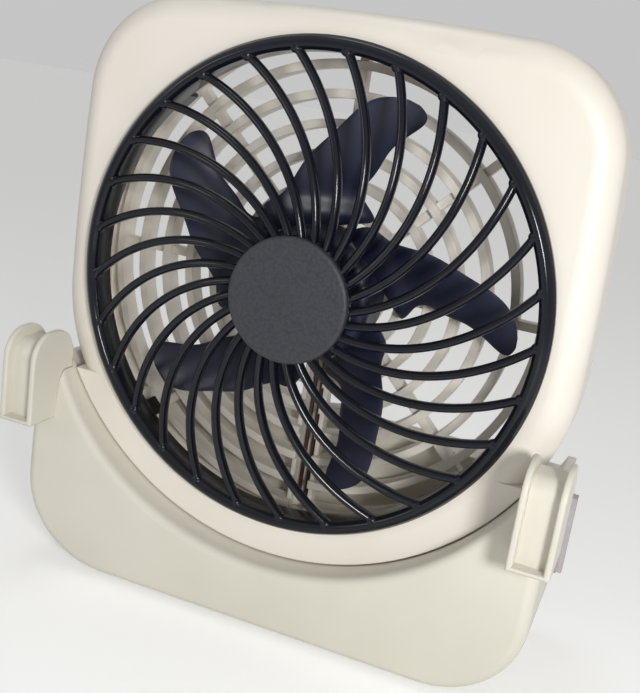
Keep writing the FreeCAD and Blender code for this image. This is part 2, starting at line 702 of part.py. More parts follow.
outer = size("ringRadius")
inner = outer - size("ringBand")
skirt = outer - size("ringFlange") - size("fitGap") * 2
flange_y = size("faceSetback") - size("shaftFit")
crown_edge = outer - size("ringBevel")
crown_foot = -size("ringLip") - size("bevelRise")
ring = turned(
    [(outer, flange_y), (outer, -size("ringLip")), (crown_edge, crown_foot), (inner, crown_foot),
     (inner, size("skirtDepth")), (skirt, size("skirtDepth")), (skirt, flange_y)],
    [(2, ((crown_edge + inner) / 2, -size("ringCrown")))],
)
hub_back = -size("hubFace") + size("hubCapDepth")
hub = Part.makeCylinder(size("hubRadius"), size("hubDepth"), Vector(0, hub_back, 0),
                        Vector(0, 1, 0))
rib, rib_end = grille_rib()
nub = Part.makeSphere(size("ribNub"), rib_end + Vector(0, -size("nubProud"), 0))
clip = Part.makeBox(
    size("clipThickness"), size("clipLength") + size("clipRoot"), size("clipWidth"),
    Vector(skirt - size("clipThickness"), size("skirtDepth") - size("clipRoot"),
           -size("clipWidth") / 2))
grille_parts = [hub]
for i in range(int(size("ribCount"))):
    angle = 360 * i / size("ribCount")
    grille_parts.append(about_y(rib, angle))
    grille_parts.append(about_y(nub, angle))
for i in range(int(size("clipCount"))):
    grille_parts.append(about_y(clip, 360 * (i + 0.5) / size("clipCount")))
front_grille = solid_feature("front_grille", ring.multiFuse(grille_parts))
keep(front_grille, "front_grille")

hub_disc = cylinder("hub_disc", "sizes.hubRadius", "sizes.hubCapDepth", "0", "-sizes.hubFace")
hub_cap = rounded("grille_hub_cap", hub_disc, size("hubEdge"),
                  lambda edge: in_plane_y(edge, -size("hubFace")) and edge.Length > 1)
keep(hub_cap, "grille_hub_cap")


# Impeller
def blade():
    """One closed skin through oval sections, turned and pitched from the root to the tip."""
    root = size("impellerHub") - size("impellerWall") / 2
    tip = value_of(blade_tip)
    around = 16
    rows = []
    for share in (0, 0.2, 0.42, 0.64, 0.82, 0.93, 0.98, 1):
        past = max(share - size("tipRoundStart"), 0) / (1 - size("tipRoundStart"))
        rounding = max(math.sqrt(1 - past ** 2), size("tipFlat"))
        even = min(share / size("chordEvenFrom"), 1)
        chord = size("bladeRootChord") * (1 - even) + size("bladeTipChord") * even
        chord *= rounding
        thin = 1 - size("bladeTaper") * share
        thick = size("bladeThickness") * thin * max(rounding, 0.45)
        pitch = size("bladePitchRoot") * (1 - share) + size("bladePitchTip") * share
        lean = size("bladeLean") * (1 - share ** size("bladeCurl"))
        angle = math.radians(size("bladeTipAngle") + lean)
        tilt = math.radians(pitch)
        outward = Vector(math.cos(angle), 0, math.sin(angle))
        sideways = Vector(-math.sin(angle), 0, math.cos(angle))
        along = sideways * math.cos(tilt) + Vector(0, -1, 0) * math.sin(tilt)
        across = outward.cross(along)
        middle = outward * (root + (tip - root) * share) + Vector(0, size("bladePlane"), 0)
        turn = [2 * math.pi * k / around for k in range(around + 1)]
        rows.append([middle + along * (chord / 2 * math.cos(a)) + across * (thick / 2 * math.sin(a))
                     for a in turn])
    skin = Part.BSplineSurface()
    skin.interpolate(rows)
    low, high = skin.bounds()[:2]
    ends = [Part.Face(Part.Wire(skin.uIso(u).toShape())) for u in (low, high)]
    shell = Part.Shell([skin.toShape()] + ends)
    shell.sewShape()
    body = Part.Solid(Part.Shell(shell.Faces))
    if body.Volume < 0:
        body.reverse()
    return body


hub_outer = size("impellerHub")
hub_inner = hub_outer - size("impellerWall")
hub_y = size("impellerFront")
hub_rear = hub_y + size("impellerDepth")
hub_floor = hub_y + size("impellerWall")
hub_round = size("impellerRound")
round_middle = hub_round * (1 - math.sqrt(0.5))
boss_bore = size("shaftRadius") + size("shaftFit")
boss = size("shaftRadius") + size("bossWidth")
boss_rear = hub_y + size("bossDepth")
impeller_hub = turned(
    [(boss_bore, hub_y), (hub_outer - hub_round, hub_y), (hub_outer, hub_y + hub_round),
     (hub_outer, hub_rear), (hub_inner, hub_rear), (hub_inner, hub_floor + 1),
     (hub_inner - 1, hub_floor), (boss, hub_floor), (boss, boss_rear), (boss_bore, boss_rear)],
    [(1, (hub_outer - round_middle, hub_y + round_middle))],
)
blades = [about_y(blade(), -360 * i / size("bladeCount")) for i in range(int(size("bladeCount")))]
inside = Part.makeCylinder(hub_inner, 60, Vector(0, -20, 0), Vector(0, 1, 0))
impeller = solid_feature("impeller", impeller_hub.multiFuse([b.cut(inside) for b in blades]))
keep(impeller, "impeller")

# Motor
motor_front = "(sizes.headBack - sizes.plateDepth - sizes.spokeRise - sizes.motorCapDepth"
motor_front += " - sizes.motorLength)"
can_solid = cylinder("can_solid", "sizes.motorRadius", "sizes.motorLength", "0", motor_front)
can_space = cylinder("can_space", "sizes.motorRadius - sizes.motorWall",
                     "sizes.motorLength - sizes.motorWall", "0", motor_front + " + sizes.motorWall")
can_bore = cylinder("can_bore", "sizes.shaftRadius + sizes.pinFit", "sizes.motorLength", "0",
                    motor_front + " - 1")
can = cut("can_bored", cut("can_hollow", can_solid, can_space), can_bore)
keep(can, "motor_can")
end_plate = cylinder("end_plate", "sizes.motorRadius", "sizes.motorCapDepth", "0",
                     motor_front + " + sizes.motorLength")
end_bores = [cylinder("end_bore%d" % i, "sizes.screwRadius + sizes.fitGap",
                      "sizes.motorCapDepth * 2", x,
                      motor_front + " + sizes.motorLength - sizes.motorCapDepth / 2", z)
             for i, (x, z) in enumerate(motor_screws_at)]
keep(cut("end_plate_bored", end_plate, join("end_bores", end_bores)), "motor_end_cap")
shaft_front = "sizes.impellerFront + 0.6"
shaft = cylinder("shaft_rod", "sizes.shaftRadius",
                 motor_front + " + sizes.motorLength - sizes.runGap - (" + shaft_front + ")",
                 "0", shaft_front)
keep(shaft, "motor_shaft")
core = cylinder("core", "sizes.motorRadius - sizes.motorWall - sizes.armatureGap",
                "sizes.motorLength - sizes.motorWall - sizes.armatureGap * 5", "0",
                motor_front + " + sizes.motorWall + sizes.armatureGap * 2")
core_bore = cylinder("core_bore", "sizes.shaftRadius", "sizes.motorLength * 2", "0", "0")
keep(cut("armature", core, core_bore), "armature")


# Motor terminals, leads and screws
def lead_path(points):
    """Straight runs joined by tangent arcs, each as large as its two runs allow."""
    edges = []
    last = points[0]
    for i in range(1, len(points) - 1):
        here = points[i]
        before = here - points[i - 1]
        after = points[i + 1] - here
        half_turn = before.getAngle(after) / 2
        reach = 0.45 * min(before.Length, after.Length)
        start = here - before.normalize() * reach
        end = here + after.normalize() * reach
        to_middle = (start + end) / 2 - here
        radius = reach / math.tan(half_turn)
        middle = here + to_middle.normalize() * (radius / math.cos(half_turn) - radius)
        edges.append(Part.LineSegment(last, start).toShape())
        edges.append(Part.Arc(start, middle, end).toShape())
        last = end
    edges.append(Part.LineSegment(last, points[-1]).toShape())
    return Part.Wire(edges)


def tube_along(points, radius):
    wire = lead_path(points)
    start = Part.Wire(Part.makeCircle(radius, points[0], points[1] - points[0]))
    return wire.makePipeShell([start], True, False)


can_back = value_of(motor_front + " + sizes.motorLength")
lead_start = -(size("motorRadius") + size("terminalDrop"))
lead_y = can_back + size("motorCapDepth") - 2 * size("terminalThickness")
channel_y = size("headBack") - size("leadFloor") - size("leadRadius") - size("fitGap")
channel_end = size("leadEnd") - value_of(rear_opening)
leads = []
for side in (-1, 1):
    lead_x = side * size("leadSpread")
    route = [Vector(side * size("terminalSpread"), lead_y, lead_start - size("shaftFit")),
             Vector(side * size("terminalSpread") * 0.8, lead_y + 1.2, lead_start - 5.5),
             Vector(lead_x, channel_y, lead_start - 13),
             Vector(lead_x, channel_y, channel_end)]
    leads.append(tube_along(route, size("leadRadius")))
keep(solid_feature("motor_leads", Part.makeCompound(leads)), "motor_leads")
terminals = []
for side in ("-", ""):
    terminals.append(box("terminal%s" % ("_left" if side else "_right"), "sizes.terminalWidth",
                         "sizes.terminalThickness", "sizes.terminalDrop + 1",
                         side + "sizes.terminalSpread - sizes.terminalWidth / 2",
                         motor_front + " + sizes.motorLength + sizes.motorCapDepth"
                         " - 2.5 * sizes.terminalThickness",
                         "-sizes.motorRadius - sizes.terminalDrop"))
can_shadow = cylinder("can_shadow", "sizes.motorRadius", "sizes.motorLength * 2", "0",
                      motor_front)
keep(cut("terminals_trimmed", group("terminal_pair", terminals), can_shadow), "motor_terminals")
screws("motor_screws", motor_screws_at, "sizes.headBack", "sizes.motorScrewLength")

# Tilt pins and bushes, one of each a side
deck_radius = low_radius + " + sizes.deckGap + sizes.deckWall"
bush_radius = "sizes.pinRadius + sizes.pinFit + sizes.bushWall"
side_inside = base_half + " - sizes.baseWall"
for side, label in ((-1, "left"), (1, "right")):
    def across(name, radius, near, far):
        start = near if side > 0 else "-(" + far + ")"
        length = "(" + far + ") - (" + near + ")"
        return cylinder(name + "_" + label, radius, length, start, "sizes.tiltY", "sizes.tiltZ", "x")

    pin = across("pin", "sizes.pinRadius", pin_inner, side_inside + " - sizes.runGap")
    collar = across("collar", "sizes.pinCollar", pin_inner, pin_inner + " + sizes.collarDepth")
    keep(join("tilt_pin_" + label, [pin, collar]), "tilt_pin_" + label)
    bush = across("bush", bush_radius, pin_inner + " + sizes.bushSetback", side_inside)
    bore = across("bush_bore", "sizes.pinRadius + sizes.pinFit", pin_inner, side_inside)
    deck = cylinder("bush_deck_" + label, deck_radius, "sizes.wellBack * 2", "0",
                    "-sizes.wellBack / 2", "0")
    clear = cut("bush_bored_" + label, bush, bore)
    keep(cut("tilt_bush_" + label, clear, deck), "tilt_bush_" + label)


# Base shells
def base_block(name, inset):
    """A block with round lower corners and a full, bowed front."""
    half = "(" + base_half + " - " + inset + ")"
    low = base_floor + " + " + inset
    depth = "sizes.baseBack + 60"
    block = box(name + "_box", half + " * 2", depth + " - " + inset,
                "sizes.baseTop - " + base_floor + " - " + inset + " * 2",
                "-" + half, "-60", low)
    corner = size("baseCorner") - value_of(inset)
    floor_z = value_of(low)
    block = rounded(name + "_corners", block, corner,
                    lambda edge: runs_along_y(edge) and abs(edge.BoundBox.ZMin - floor_z) < 0.1)
    bow = cylinder(name + "_bow", "sizes.cradleCurve - " + inset, half + " * 4",
                   "-" + half + " * 2", "sizes.cradleCurve - sizes.cradleCrownY",
                   "sizes.cradleCrownZ", "x")
    return overlap_of(name, [block, bow])


def is_front_edge(edge):
    top = abs(edge.BoundBox.ZMax - size("baseTop")) < 0.01 and spans(edge, "z") < 0.01
    return edge.BoundBox.YMax < size("tiltY") and not top


def is_rear_edge(edge):
    top = abs(edge.BoundBox.ZMax - size("baseTop")) < 0.01 and spans(edge, "z") < 0.01
    return in_plane_y(edge, size("baseBack")) and not top


base_outer = base_block("base_outer", "0")
base_outer = rounded("base_front_rounded", base_outer, size("edgeRound"), is_front_edge)
base_outer = rounded("base_rear_rounded", base_outer, size("rearEdge"), is_rear_edge)
seam = cylinder("seam", seam_radius, "sizes.wellBack + 60", "0", "-60", "sizes.seamCentre")
base_outer = cut("base_cradled", base_outer, seam)


def is_seam_edge(edge):
    box_of_edge = edge.BoundBox
    low_point = size("seamCentre") - value_of(seam_radius)
    return (abs(box_of_edge.ZMin - low_point) < 0.05 and box_of_edge.YMax < 0
            and box_of_edge.XLength > value_of(base_half) * 0.8)


base_outer = rounded("base_rolled", base_outer, size("seamRound"), is_seam_edge)
well = cylinder("well", low_radius + " + sizes.deckGap", "sizes.wellBack - sizes.seamBack",
                "0", "sizes.seamBack", "0")
shelf = box("shelf", base_half + " * 4", "sizes.baseBack", base_half,
            "-" + base_half + " * 2", "sizes.wellBack", "sizes.shelfTop")
base_outer = cut("base_shelved", base_outer, shelf)
base_outer = rounded("base_shelf_rounded", base_outer, size("rearEdge"),
                     lambda edge: in_plane_y(edge, size("baseBack"))
                     and abs(edge.BoundBox.ZMin - size("shelfTop")) < 0.01)
hollow = base_block("hollow", "sizes.baseWall")
deck_keep = cylinder("deck_keep", deck_radius, "sizes.wellBack + sizes.deckWall + 60", "0",
                     "-60", "0")
shelf_keep = box("shelf_keep", base_half + " * 4", "sizes.baseBack",
                 base_half, "-" + base_half + " * 2", "sizes.wellBack",
                 "sizes.shelfTop - sizes.baseWall")
hollow = cut("hollow_clear", hollow, join("hollow_keeps", [deck_keep, shelf_keep]))
base_shell = cut("base_shell", base_outer, join("base_spaces", [well, hollow]))

base_screws_at = [
    ("sizes.innerScrewX", inner_screw_z),
    ("-sizes.innerScrewX", inner_screw_z),
    (outer_screw_x, "sizes.outerScrewZ"),
    ("-" + outer_screw_x, "sizes.outerScrewZ"),
]
posts = [cylinder("base_post%d" % i, post_radius, "sizes.baseBack + 20", x, "-20", z)
         for i, (x, z) in enumerate(base_screws_at)]
posts_inside = overlap_of("base_posts", [group("base_post_set", posts), base_outer])
base_shell = join("base_with_posts", [base_shell, posts_inside])
tools = []
for i, (x, z) in enumerate(base_screws_at):
    tools.append(cylinder("base_bore%d" % i, shank_bore,
                          "sizes.baseScrewLength + 1", x,
                          "sizes.baseBack - sizes.baseScrewLength - 1 + 0.01", z))
    tools.append(cylinder("base_sink%d" % i, head_bore,
                          "sizes.screwHeadDepth + 1", x,
                          "sizes.baseBack - sizes.screwHeadDepth", z))
for side, label in (("-", "left"), ("", "right")):
    cell_x = side + cell_across
    tools.append(cylinder("cap_hole_" + label, "sizes.capRadius + sizes.runGap",
                          "sizes.baseWall + 2", cell_x, "sizes.baseBack - sizes.baseWall - 1",
                          cell_height))
    near = pin_inner
    far = side_inside + " - 0.5"
    start = near if not side else "-(" + far + ")"
    tools.append(cylinder("pin_hole_" + label, "sizes.pinRadius + sizes.runGap",
                          "(" + far + ") - " + near, start, "sizes.tiltY", "sizes.tiltZ", "x"))
feet_at = [(side + "sizes.footX", y) for side in ("-", "")
           for y in ("sizes.footFrontY", foot_rear)]
for i, (x, y) in enumerate(feet_at):
    tools.append(cylinder("foot_recess%d" % i, "sizes.footRadius + sizes.fitGap",
                          "sizes.footSunk + 5", x, y, base_floor + " - 5", "z"))
tools.append(cylinder("knob_hole", "sizes.spindleRadius + sizes.runGap", "sizes.baseWall * 3",
                      side_inside + " - 0.5", "sizes.knobY", "sizes.knobZ", "x"))
tools.append(cylinder("socket_hole", "sizes.jackBore + sizes.jackRim + sizes.fitGap",
                      "sizes.baseWall * 2", "0", "sizes.baseBack - sizes.baseWall - 0.5",
                      jack_height))
base_shell = cut("base_bored", base_shell, join("base_tools", tools))
front_half = box("front_half", base_half + " * 4", "sizes.baseParting + 60",
                 "-" + base_floor + " + 20", "-" + base_half + " * 2", "-60",
                 base_floor + " - 10")
keep(overlap_of("base_front_shell", [base_shell, front_half]), "base_front_shell")
keep(cut("base_rear_shell", base_shell, front_half), "base_rear_shell")
screws("base_screws", base_screws_at, "sizes.baseBack", "sizes.baseScrewLength")

# Ears of the cradle, each two flanges with a shallow channel between them
def ear_plate(name, x, thickness, inset, edge_round):
    """An upright plate with a round top, moved in from the front and the top of the ear."""
    plate = box(name + "_box", thickness, "sizes.earFront - sizes.earBack - " + inset,
                "sizes.earTop - sizes.earFloor - " + inset, x, "-sizes.earFront + " + inset,
                "sizes.earFloor")
    inset_size = value_of(inset)
    top = size("earTop") - inset_size
    plate = rounded(name + "_top", plate, size("earRadius") - inset_size,
                    lambda edge: spans(edge, "x") > 1 and abs(edge.BoundBox.ZMin - top) < 0.01)
    if edge_round:
        back = -size("earBack")
        plate = rounded(name + "_edge", plate, edge_round,
                        lambda edge: spans(edge, "x") < 0.01 and not in_plane_y(edge, back)
                        and edge.BoundBox.ZMax > size("earFloor") + 1)
    return plate


for side, label in (("-", "left"), ("", "right")):
    low_x = "-" + ear_outer if side else ear_inner
    high_x = "-" + ear_inner if side else ear_outer
    width = ear_outer + " - " + ear_inner
    core = ear_plate("ear_core_" + label, low_x, width, "sizes.earRecess", 0)
    flanges = [
        ear_plate("ear_near_" + label, low_x, "sizes.earWall", "0", size("earEdge")),
        ear_plate("ear_far_" + label, high_x + " - sizes.earWall", "sizes.earWall", "0",
                  size("earEdge")),
    ]
    lip = box("ear_lip_" + label, width + " - sizes.earWall", "sizes.earFront - sizes.earBack",
              "sizes.earLip", low_x + " + sizes.earWall / 2", "-sizes.earFront", "sizes.earFloor")
    lump = join("ear_lump_" + label, [core] + flanges + [lip])
    ear = cut("ear_open_" + label, lump, base_outer)
    keep(ear, "ear_" + label)

# Battery tubes, cells, contacts, springs and caps
for side, label in (("-", "left"), ("", "right")):
    cell_x = side + cell_across

    def disc(name, radius, length, y):
        return cylinder(name + "_" + label, radius, length, cell_x, y, cell_height)

    tube_radius = "sizes.cellRadius + sizes.tubeFit"
    tube_back = "sizes.baseBack - sizes.baseWall"
    tube_length = tube_back + " + sizes.tubeFront"
    tube_solid = disc("tube_solid", tube_radius + " + sizes.tubeWall", tube_length,
                      "-sizes.tubeFront")
    tube_space = disc("tube_space", tube_radius, tube_length, "-sizes.tubeFront + sizes.tubeEnd")
    keep(cut("battery_tube_" + label, tube_solid, tube_space), "battery_tube_" + label)
    contact_y = "-sizes.tubeFront + sizes.tubeEnd"
    plate = disc("contact", "sizes.contactRadius", "sizes.contactDepth", contact_y)
    keep(plate, "battery_contact_" + label)
    cell_front = contact_y + " + sizes.contactDepth"
    nub_disc = disc("cell_nub", "sizes.cellNub", "sizes.cellNubDepth + 1", cell_front)
    can_disc = disc("cell_can", "sizes.cellRadius", "sizes.cellLength - sizes.cellNubDepth",
                    cell_front + " + sizes.cellNubDepth")
    keep(join("battery_cell_" + label, [nub_disc, can_disc]), "battery_cell_" + label)
    cap_y = "sizes.baseBack - sizes.capDepth"
    spring_y = cell_front + " + sizes.cellLength + sizes.fitGap"
    spring = disc("spring", "sizes.springRadius", cap_y + " - (" + spring_y + ")", spring_y)
    keep(spring, "battery_spring_" + label)
    cap_disc = disc("cap_disc", "sizes.capRadius", "sizes.capDepth", cap_y)
    coin = box("coin_slot_" + label, "sizes.coinLength", "sizes.coinDepth + 1", "sizes.coinWidth",
               cell_x + " - sizes.coinLength / 2", "sizes.baseBack - sizes.coinDepth",
               cell_height + " - sizes.coinWidth / 2")
    keep(cut("battery_cap_" + label, cap_disc, coin), "battery_cap_" + label)

# Speed knob, its spindle and the switch behind it
knob_start = base_half + " + sizes.runGap"
knob_disc = cylinder("knob_disc", "sizes.knobRadius", "sizes.knobDisc", knob_start,
                     "sizes.knobY", "sizes.knobZ", "x")
knob_round = cylinder("knob_round", "sizes.knobRadius", ear_outer + " - (" + knob_start + ")",
                      knob_start, "sizes.knobY", "sizes.knobZ", "x")
knob_bar = box("knob_bar", ear_outer + " - (" + knob_start + ")", "sizes.knobBar",
               "sizes.knobRadius * 3", knob_start, "sizes.knobY - sizes.knobBar / 2",
               "sizes.knobZ - sizes.knobRadius * 1.5")
grip = overlap_of("knob_grip", [knob_round, knob_bar])
keep(join("speed_knob", [knob_disc, grip]), "speed_knob")
spindle_inner = side_inside + " - sizes.switchDepth + 1"
spindle = cylinder("spindle", "sizes.spindleRadius", knob_start + " - (" + spindle_inner + ")",
                   spindle_inner, "sizes.knobY", "sizes.knobZ", "x")
keep(spindle, "switch_spindle")
switch_box = box("switch_box", "sizes.switchDepth", "sizes.switchWidth", "sizes.switchHeight",
                 side_inside + " - sizes.switchDepth", "sizes.knobY - sizes.switchWidth / 2",
                 "sizes.knobZ + sizes.switchRise - sizes.switchHeight")
switch_bore = cylinder("switch_bore", "sizes.spindleRadius + sizes.runGap", "sizes.switchDepth",
                       spindle_inner + " - 0.5", "sizes.knobY", "sizes.knobZ", "x")
keep(cut("rotary_switch", switch_box, switch_bore), "rotary_switch")

# Power socket in the rear wall
socket_front = "sizes.baseBack - sizes.baseWall - sizes.jackDepth"
socket_box = box("socket_box", "sizes.jackWidth", "sizes.jackDepth", "sizes.jackWidth",
                 "-sizes.jackWidth / 2", socket_front, jack_height + " - sizes.jackWidth / 2")
socket_nose = cylinder("socket_nose", "sizes.jackBore + sizes.jackRim",
                       "sizes.baseWall + 1", "0", "sizes.baseBack - sizes.baseWall - 1",
                       jack_height)
socket_bore = cylinder("socket_bore", "sizes.jackBore", "sizes.jackDepth", "0",
                       socket_front + " + sizes.baseWall", jack_height)
socket_pin = cylinder("socket_pin", "sizes.jackPin", "sizes.jackDepth - 0.5", "0",
                      socket_front + " + 1", jack_height)
socket = cut("socket_bored", join("socket_body", [socket_box, socket_nose]), socket_bore)
keep(join("power_socket", [socket, socket_pin]), "power_socket")

feet = [cylinder("foot%d" % i, "sizes.footRadius", "sizes.footDepth", x, y,
                 base_floor + " + sizes.footSunk - sizes.footDepth", "z")
        for i, (x, y) in enumerate(feet_at)]
keep(group("rubber_feet", feet), "rubber_feet")

doc.recompute()
problems = [item.Name for item in doc.Objects
            if "Invalid" in item.State or "Error" in item.State]
for item in pieces:
    if item.Shape.isNull() or not item.Shape.isValid():
        problems.append(item.Label)
if problems:
    raise ValueError("pieces that did not build: " + ", ".join(problems))
os.makedirs("parts", exist_ok=True)
for item in pieces:
    item.Shape.exportStep("parts/%s.step" % item.Label)
    box_of = item.Shape.BoundBox
    print("%-22s solids %2d volume %8.0f  x %.1f..%.1f y %.1f..%.1f z %.1f..%.1f" % (
        item.Label, len(item.Shape.Solids), item.Shape.Volume, box_of.XMin, box_of.XMax,
        box_of.YMin, box_of.YMax, box_of.ZMin, box_of.ZMax))
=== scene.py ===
import bmesh
import bpy
import math
from mathutils import Matrix, Vector


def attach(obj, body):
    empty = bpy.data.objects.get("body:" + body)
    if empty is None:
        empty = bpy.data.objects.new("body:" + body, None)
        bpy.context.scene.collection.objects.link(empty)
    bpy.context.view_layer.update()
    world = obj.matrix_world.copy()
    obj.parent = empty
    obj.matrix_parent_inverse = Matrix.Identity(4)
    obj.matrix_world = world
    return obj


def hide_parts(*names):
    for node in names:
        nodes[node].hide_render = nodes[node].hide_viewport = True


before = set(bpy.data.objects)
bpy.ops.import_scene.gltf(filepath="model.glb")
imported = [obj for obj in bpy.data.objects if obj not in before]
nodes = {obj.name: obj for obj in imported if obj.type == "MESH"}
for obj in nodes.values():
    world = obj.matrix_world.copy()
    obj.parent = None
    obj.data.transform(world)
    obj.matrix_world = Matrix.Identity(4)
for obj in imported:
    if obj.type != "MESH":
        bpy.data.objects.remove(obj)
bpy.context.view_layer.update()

mm = 0.001
ringCentre = Vector((0.0, -14.5, 106.6)) * mm  # middle of the front ring, on its plane
print("frame loaded")


# Camera
cameraView = {
    "place": (0.1008, -0.2786, 0.1665),
    "target": (0.0080, -0.0145, 0.0929),
    "rollDegrees": 8.54,
    "lens": 51.5,
}


def makeCamera(view):
    place, target = Vector(view["place"]), Vector(view["target"])
    back = (place - target).normalized()
    levelRight = Vector((0, 0, 1)).cross(back).normalized()
    levelUp = back.cross(levelRight)
    roll = math.radians(view["rollDegrees"])
    right = levelRight * math.cos(roll) + levelUp * math.sin(roll)
    up = levelUp * math.cos(roll) - levelRight * math.sin(roll)
    data = bpy.data.cameras.new("camera")
    data.lens = view["lens"]
    data.clip_start = 0.01
    camera = bpy.data.objects.new("camera", data)
    bpy.context.scene.collection.objects.link(camera)
    camera.matrix_world = Matrix.Translation(place) @ Matrix((right, up, back)).transposed().to_4x4()
    bpy.context.scene.camera = camera


makeCamera(cameraView)
bpy.context.scene.view_settings.view_transform = "Standard"
print("camera placed")


# Shared tools
def tone(hexCode):  # a colour as written on screen, turned to linear light
    parts = [int(hexCode[i:i + 2], 16) / 255 for i in (1, 3, 5)]
    return tuple(p / 12.92 if p <= 0.04045 else ((p + 0.055) / 1.055) ** 2.4 for p in parts) + (1.0,)


def addNode(tree, kind, inputs=None, **settings):
    node = tree.nodes.new(kind)
    for name, value in settings.items():
        setattr(node, name, value)
    for name, value in (inputs or {}).items():
        if isinstance(value, bpy.types.NodeSocket):
            tree.links.new(value, node.inputs[name])
        else:
            node.inputs[name].default_value = value
    return node


def startMaterial(name):
    material = bpy.data.materials.new(name)
    material.use_nodes = True
    material.node_tree.nodes.clear()
    return material, material.node_tree


def finishMaterial(tree, surface):
    addNode(tree, "ShaderNodeOutputMaterial", {"Surface": surface.outputs["BSDF"]})


def keepPiece(name, mesh, material, body, slot, *replaced):
    mesh.materials.clear()
    mesh.materials.append(material)
    piece = bpy.data.objects.new(name, mesh)
    bpy.context.scene.collection.objects.link(piece)
    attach(piece, body)
    if replaced:
        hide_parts(*replaced)
    return piece


# Finishes
settledDust = {"colour": "#b9b4aa", "fleckMm": 0.6}
toolGrainDepthMm = 0.02
edgeSamples = 4


def mouldedPlastic(name, look):
    # Injection-moulded ABS: an even colour with the fine grain of the spark-eroded tool,
    # faint cloudy flow from the gate, and edges that are never quite sharp.
    material, tree = startMaterial(name)
    place = addNode(tree, "ShaderNodeTexCoord").outputs["Object"]
    cloud = addNode(tree, "ShaderNodeTexNoise",
                    {"Vector": place, "Scale": 1000 / look["cloudMm"], "Detail": 3.0, "Roughness": 0.55})
    cloudShare = addNode(tree, "ShaderNodeMapRange",
                         {"Value": cloud.outputs["Fac"], "From Min": 0.36, "From Max": 0.64})
    base = addNode(tree, "ShaderNodeMix", {"Factor": cloudShare.outputs["Result"],
                                           6: tone(look["colour"]), 7: tone(look["second"])},
                   data_type="RGBA")
    smear = addNode(tree, "ShaderNodeTexNoise",
                    {"Vector": place, "Scale": 1000 / look["smearMm"], "Detail": 5.0, "Roughness": 0.62,
                     "Distortion": 0.8})
    roughness = addNode(tree, "ShaderNodeMapRange",
                        {"Value": smear.outputs["Fac"], "From Min": 0.3, "From Max": 0.7,
                         "To Min": look["roughness"][0], "To Max": look["roughness"][1]})
    normal = addNode(tree, "ShaderNodeNewGeometry")
    upward = addNode(tree, "ShaderNodeSeparateXYZ", {"Vector": normal.outputs["Normal"]})
    settled = addNode(tree, "ShaderNodeMapRange",
                      {"Value": upward.outputs["Z"], "From Min": 0.2, "From Max": 1.0,
                       "To Min": 0.0, "To Max": look["dust"]})
    fleck = addNode(tree, "ShaderNodeTexNoise",
                    {"Vector": place, "Scale": 1000 / settledDust["fleckMm"], "Detail": 6.0,
                     "Roughness": 0.75})
    dustShare = addNode(tree, "ShaderNodeMath", {0: settled.outputs["Result"], 1: fleck.outputs["Fac"]},
                        operation="MULTIPLY")
    dusted = addNode(tree, "ShaderNodeMix", {"Factor": dustShare.outputs["Value"],
                                             6: base.outputs[2], 7: tone(settledDust["colour"])},
                     data_type="RGBA")
    edge = addNode(tree, "ShaderNodeBevel", {"Radius": look["edgeMm"] * mm}, samples=edgeSamples)
    grain = addNode(tree, "ShaderNodeTexNoise",
                    {"Vector": place, "Scale": 1000 / look["grainMm"], "Detail": 2.0, "Roughness": 0.6})
    bump = addNode(tree, "ShaderNodeBump",
                   {"Height": grain.outputs["Fac"], "Strength": look["grain"],
                    "Distance": toolGrainDepthMm * mm, "Normal": edge.outputs["Normal"]})
    surface = addNode(tree, "ShaderNodeBsdfPrincipled",
                      {"Base Color": dusted.outputs[2], "Roughness": roughness.outputs["Result"],
                       "IOR": look["ior"], "Specular IOR Level": look["shine"],
                       "Normal": bump.outputs["Normal"]})
    finishMaterial(tree, surface)
    return material


ivoryPlastic = mouldedPlastic("ivoryAbs", {  # satin ABS, warm white
    "colour": "#ece6dc", "second": "#e6dfd3", "cloudMm": 70, "smearMm": 9, "roughness": (0.36, 0.46),
    "dust": 0.12, "edgeMm": 0.5, "grainMm": 0.45, "grain": 0.35, "ior": 1.54, "shine": 0.5})
creamPlastic = mouldedPlastic("creamAbs", {  # the base is a slightly greener, older-looking cream
    "colour": "#ddd9cc", "second": "#d6d2c4", "cloudMm": 60, "smearMm": 8, "roughness": (0.38, 0.5),
    "dust": 0.12, "edgeMm": 0.8, "grainMm": 0.45, "grain": 0.4, "ior": 1.54, "shine": 0.5})
navyPlastic = mouldedPlastic("navyGlossAbs", {  # high-gloss ABS from a polished tool
    "colour": "#0d0f17", "second": "#12141e", "cloudMm": 30, "smearMm": 5, "roughness": (0.1, 0.18),
    "dust": 0.03, "edgeMm": 0.3, "grainMm": 0.9, "grain": 0.12, "ior": 1.5, "shine": 0.3})
bladePlastic = mouldedPlastic("navySatinPp", {  # polypropylene: waxy, softer shine
    "colour": "#282c42", "second": "#212437", "cloudMm": 25, "smearMm": 6, "roughness": (0.3, 0.42),
    "dust": 0.1, "edgeMm": 0.25, "grainMm": 0.6, "grain": 0.25, "ior": 1.49, "shine": 0.4})
knobPlastic = mouldedPlastic("greyKnobAbs", {
    "colour": "#b9b1b4", "second": "#aea6aa", "cloudMm": 12, "smearMm": 3, "roughness": (0.4, 0.52),
    "dust": 0.1, "edgeMm": 0.5, "grainMm": 0.5, "grain": 0.6, "ior": 1.54, "shine": 0.5})
tubePlastic = mouldedPlastic("naturalPp", {  # undyed polypropylene
    "colour": "#d6d2c6", "second": "#cdc8bb", "cloudMm": 20, "smearMm": 5, "roughness": (0.45, 0.6),
    "dust": 0.1, "edgeMm": 0.3, "grainMm": 0.7, "grain": 0.5, "ior": 1.49, "shine": 0.4})
blackPlastic = mouldedPlastic("blackNylon", {
    "colour": "#1b1b1c", "second": "#232324", "cloudMm": 10, "smearMm": 3, "roughness": (0.42, 0.58),
    "dust": 0.15, "edgeMm": 0.25, "grainMm": 0.5, "grain": 0.6, "ior": 1.53, "shine": 0.5})
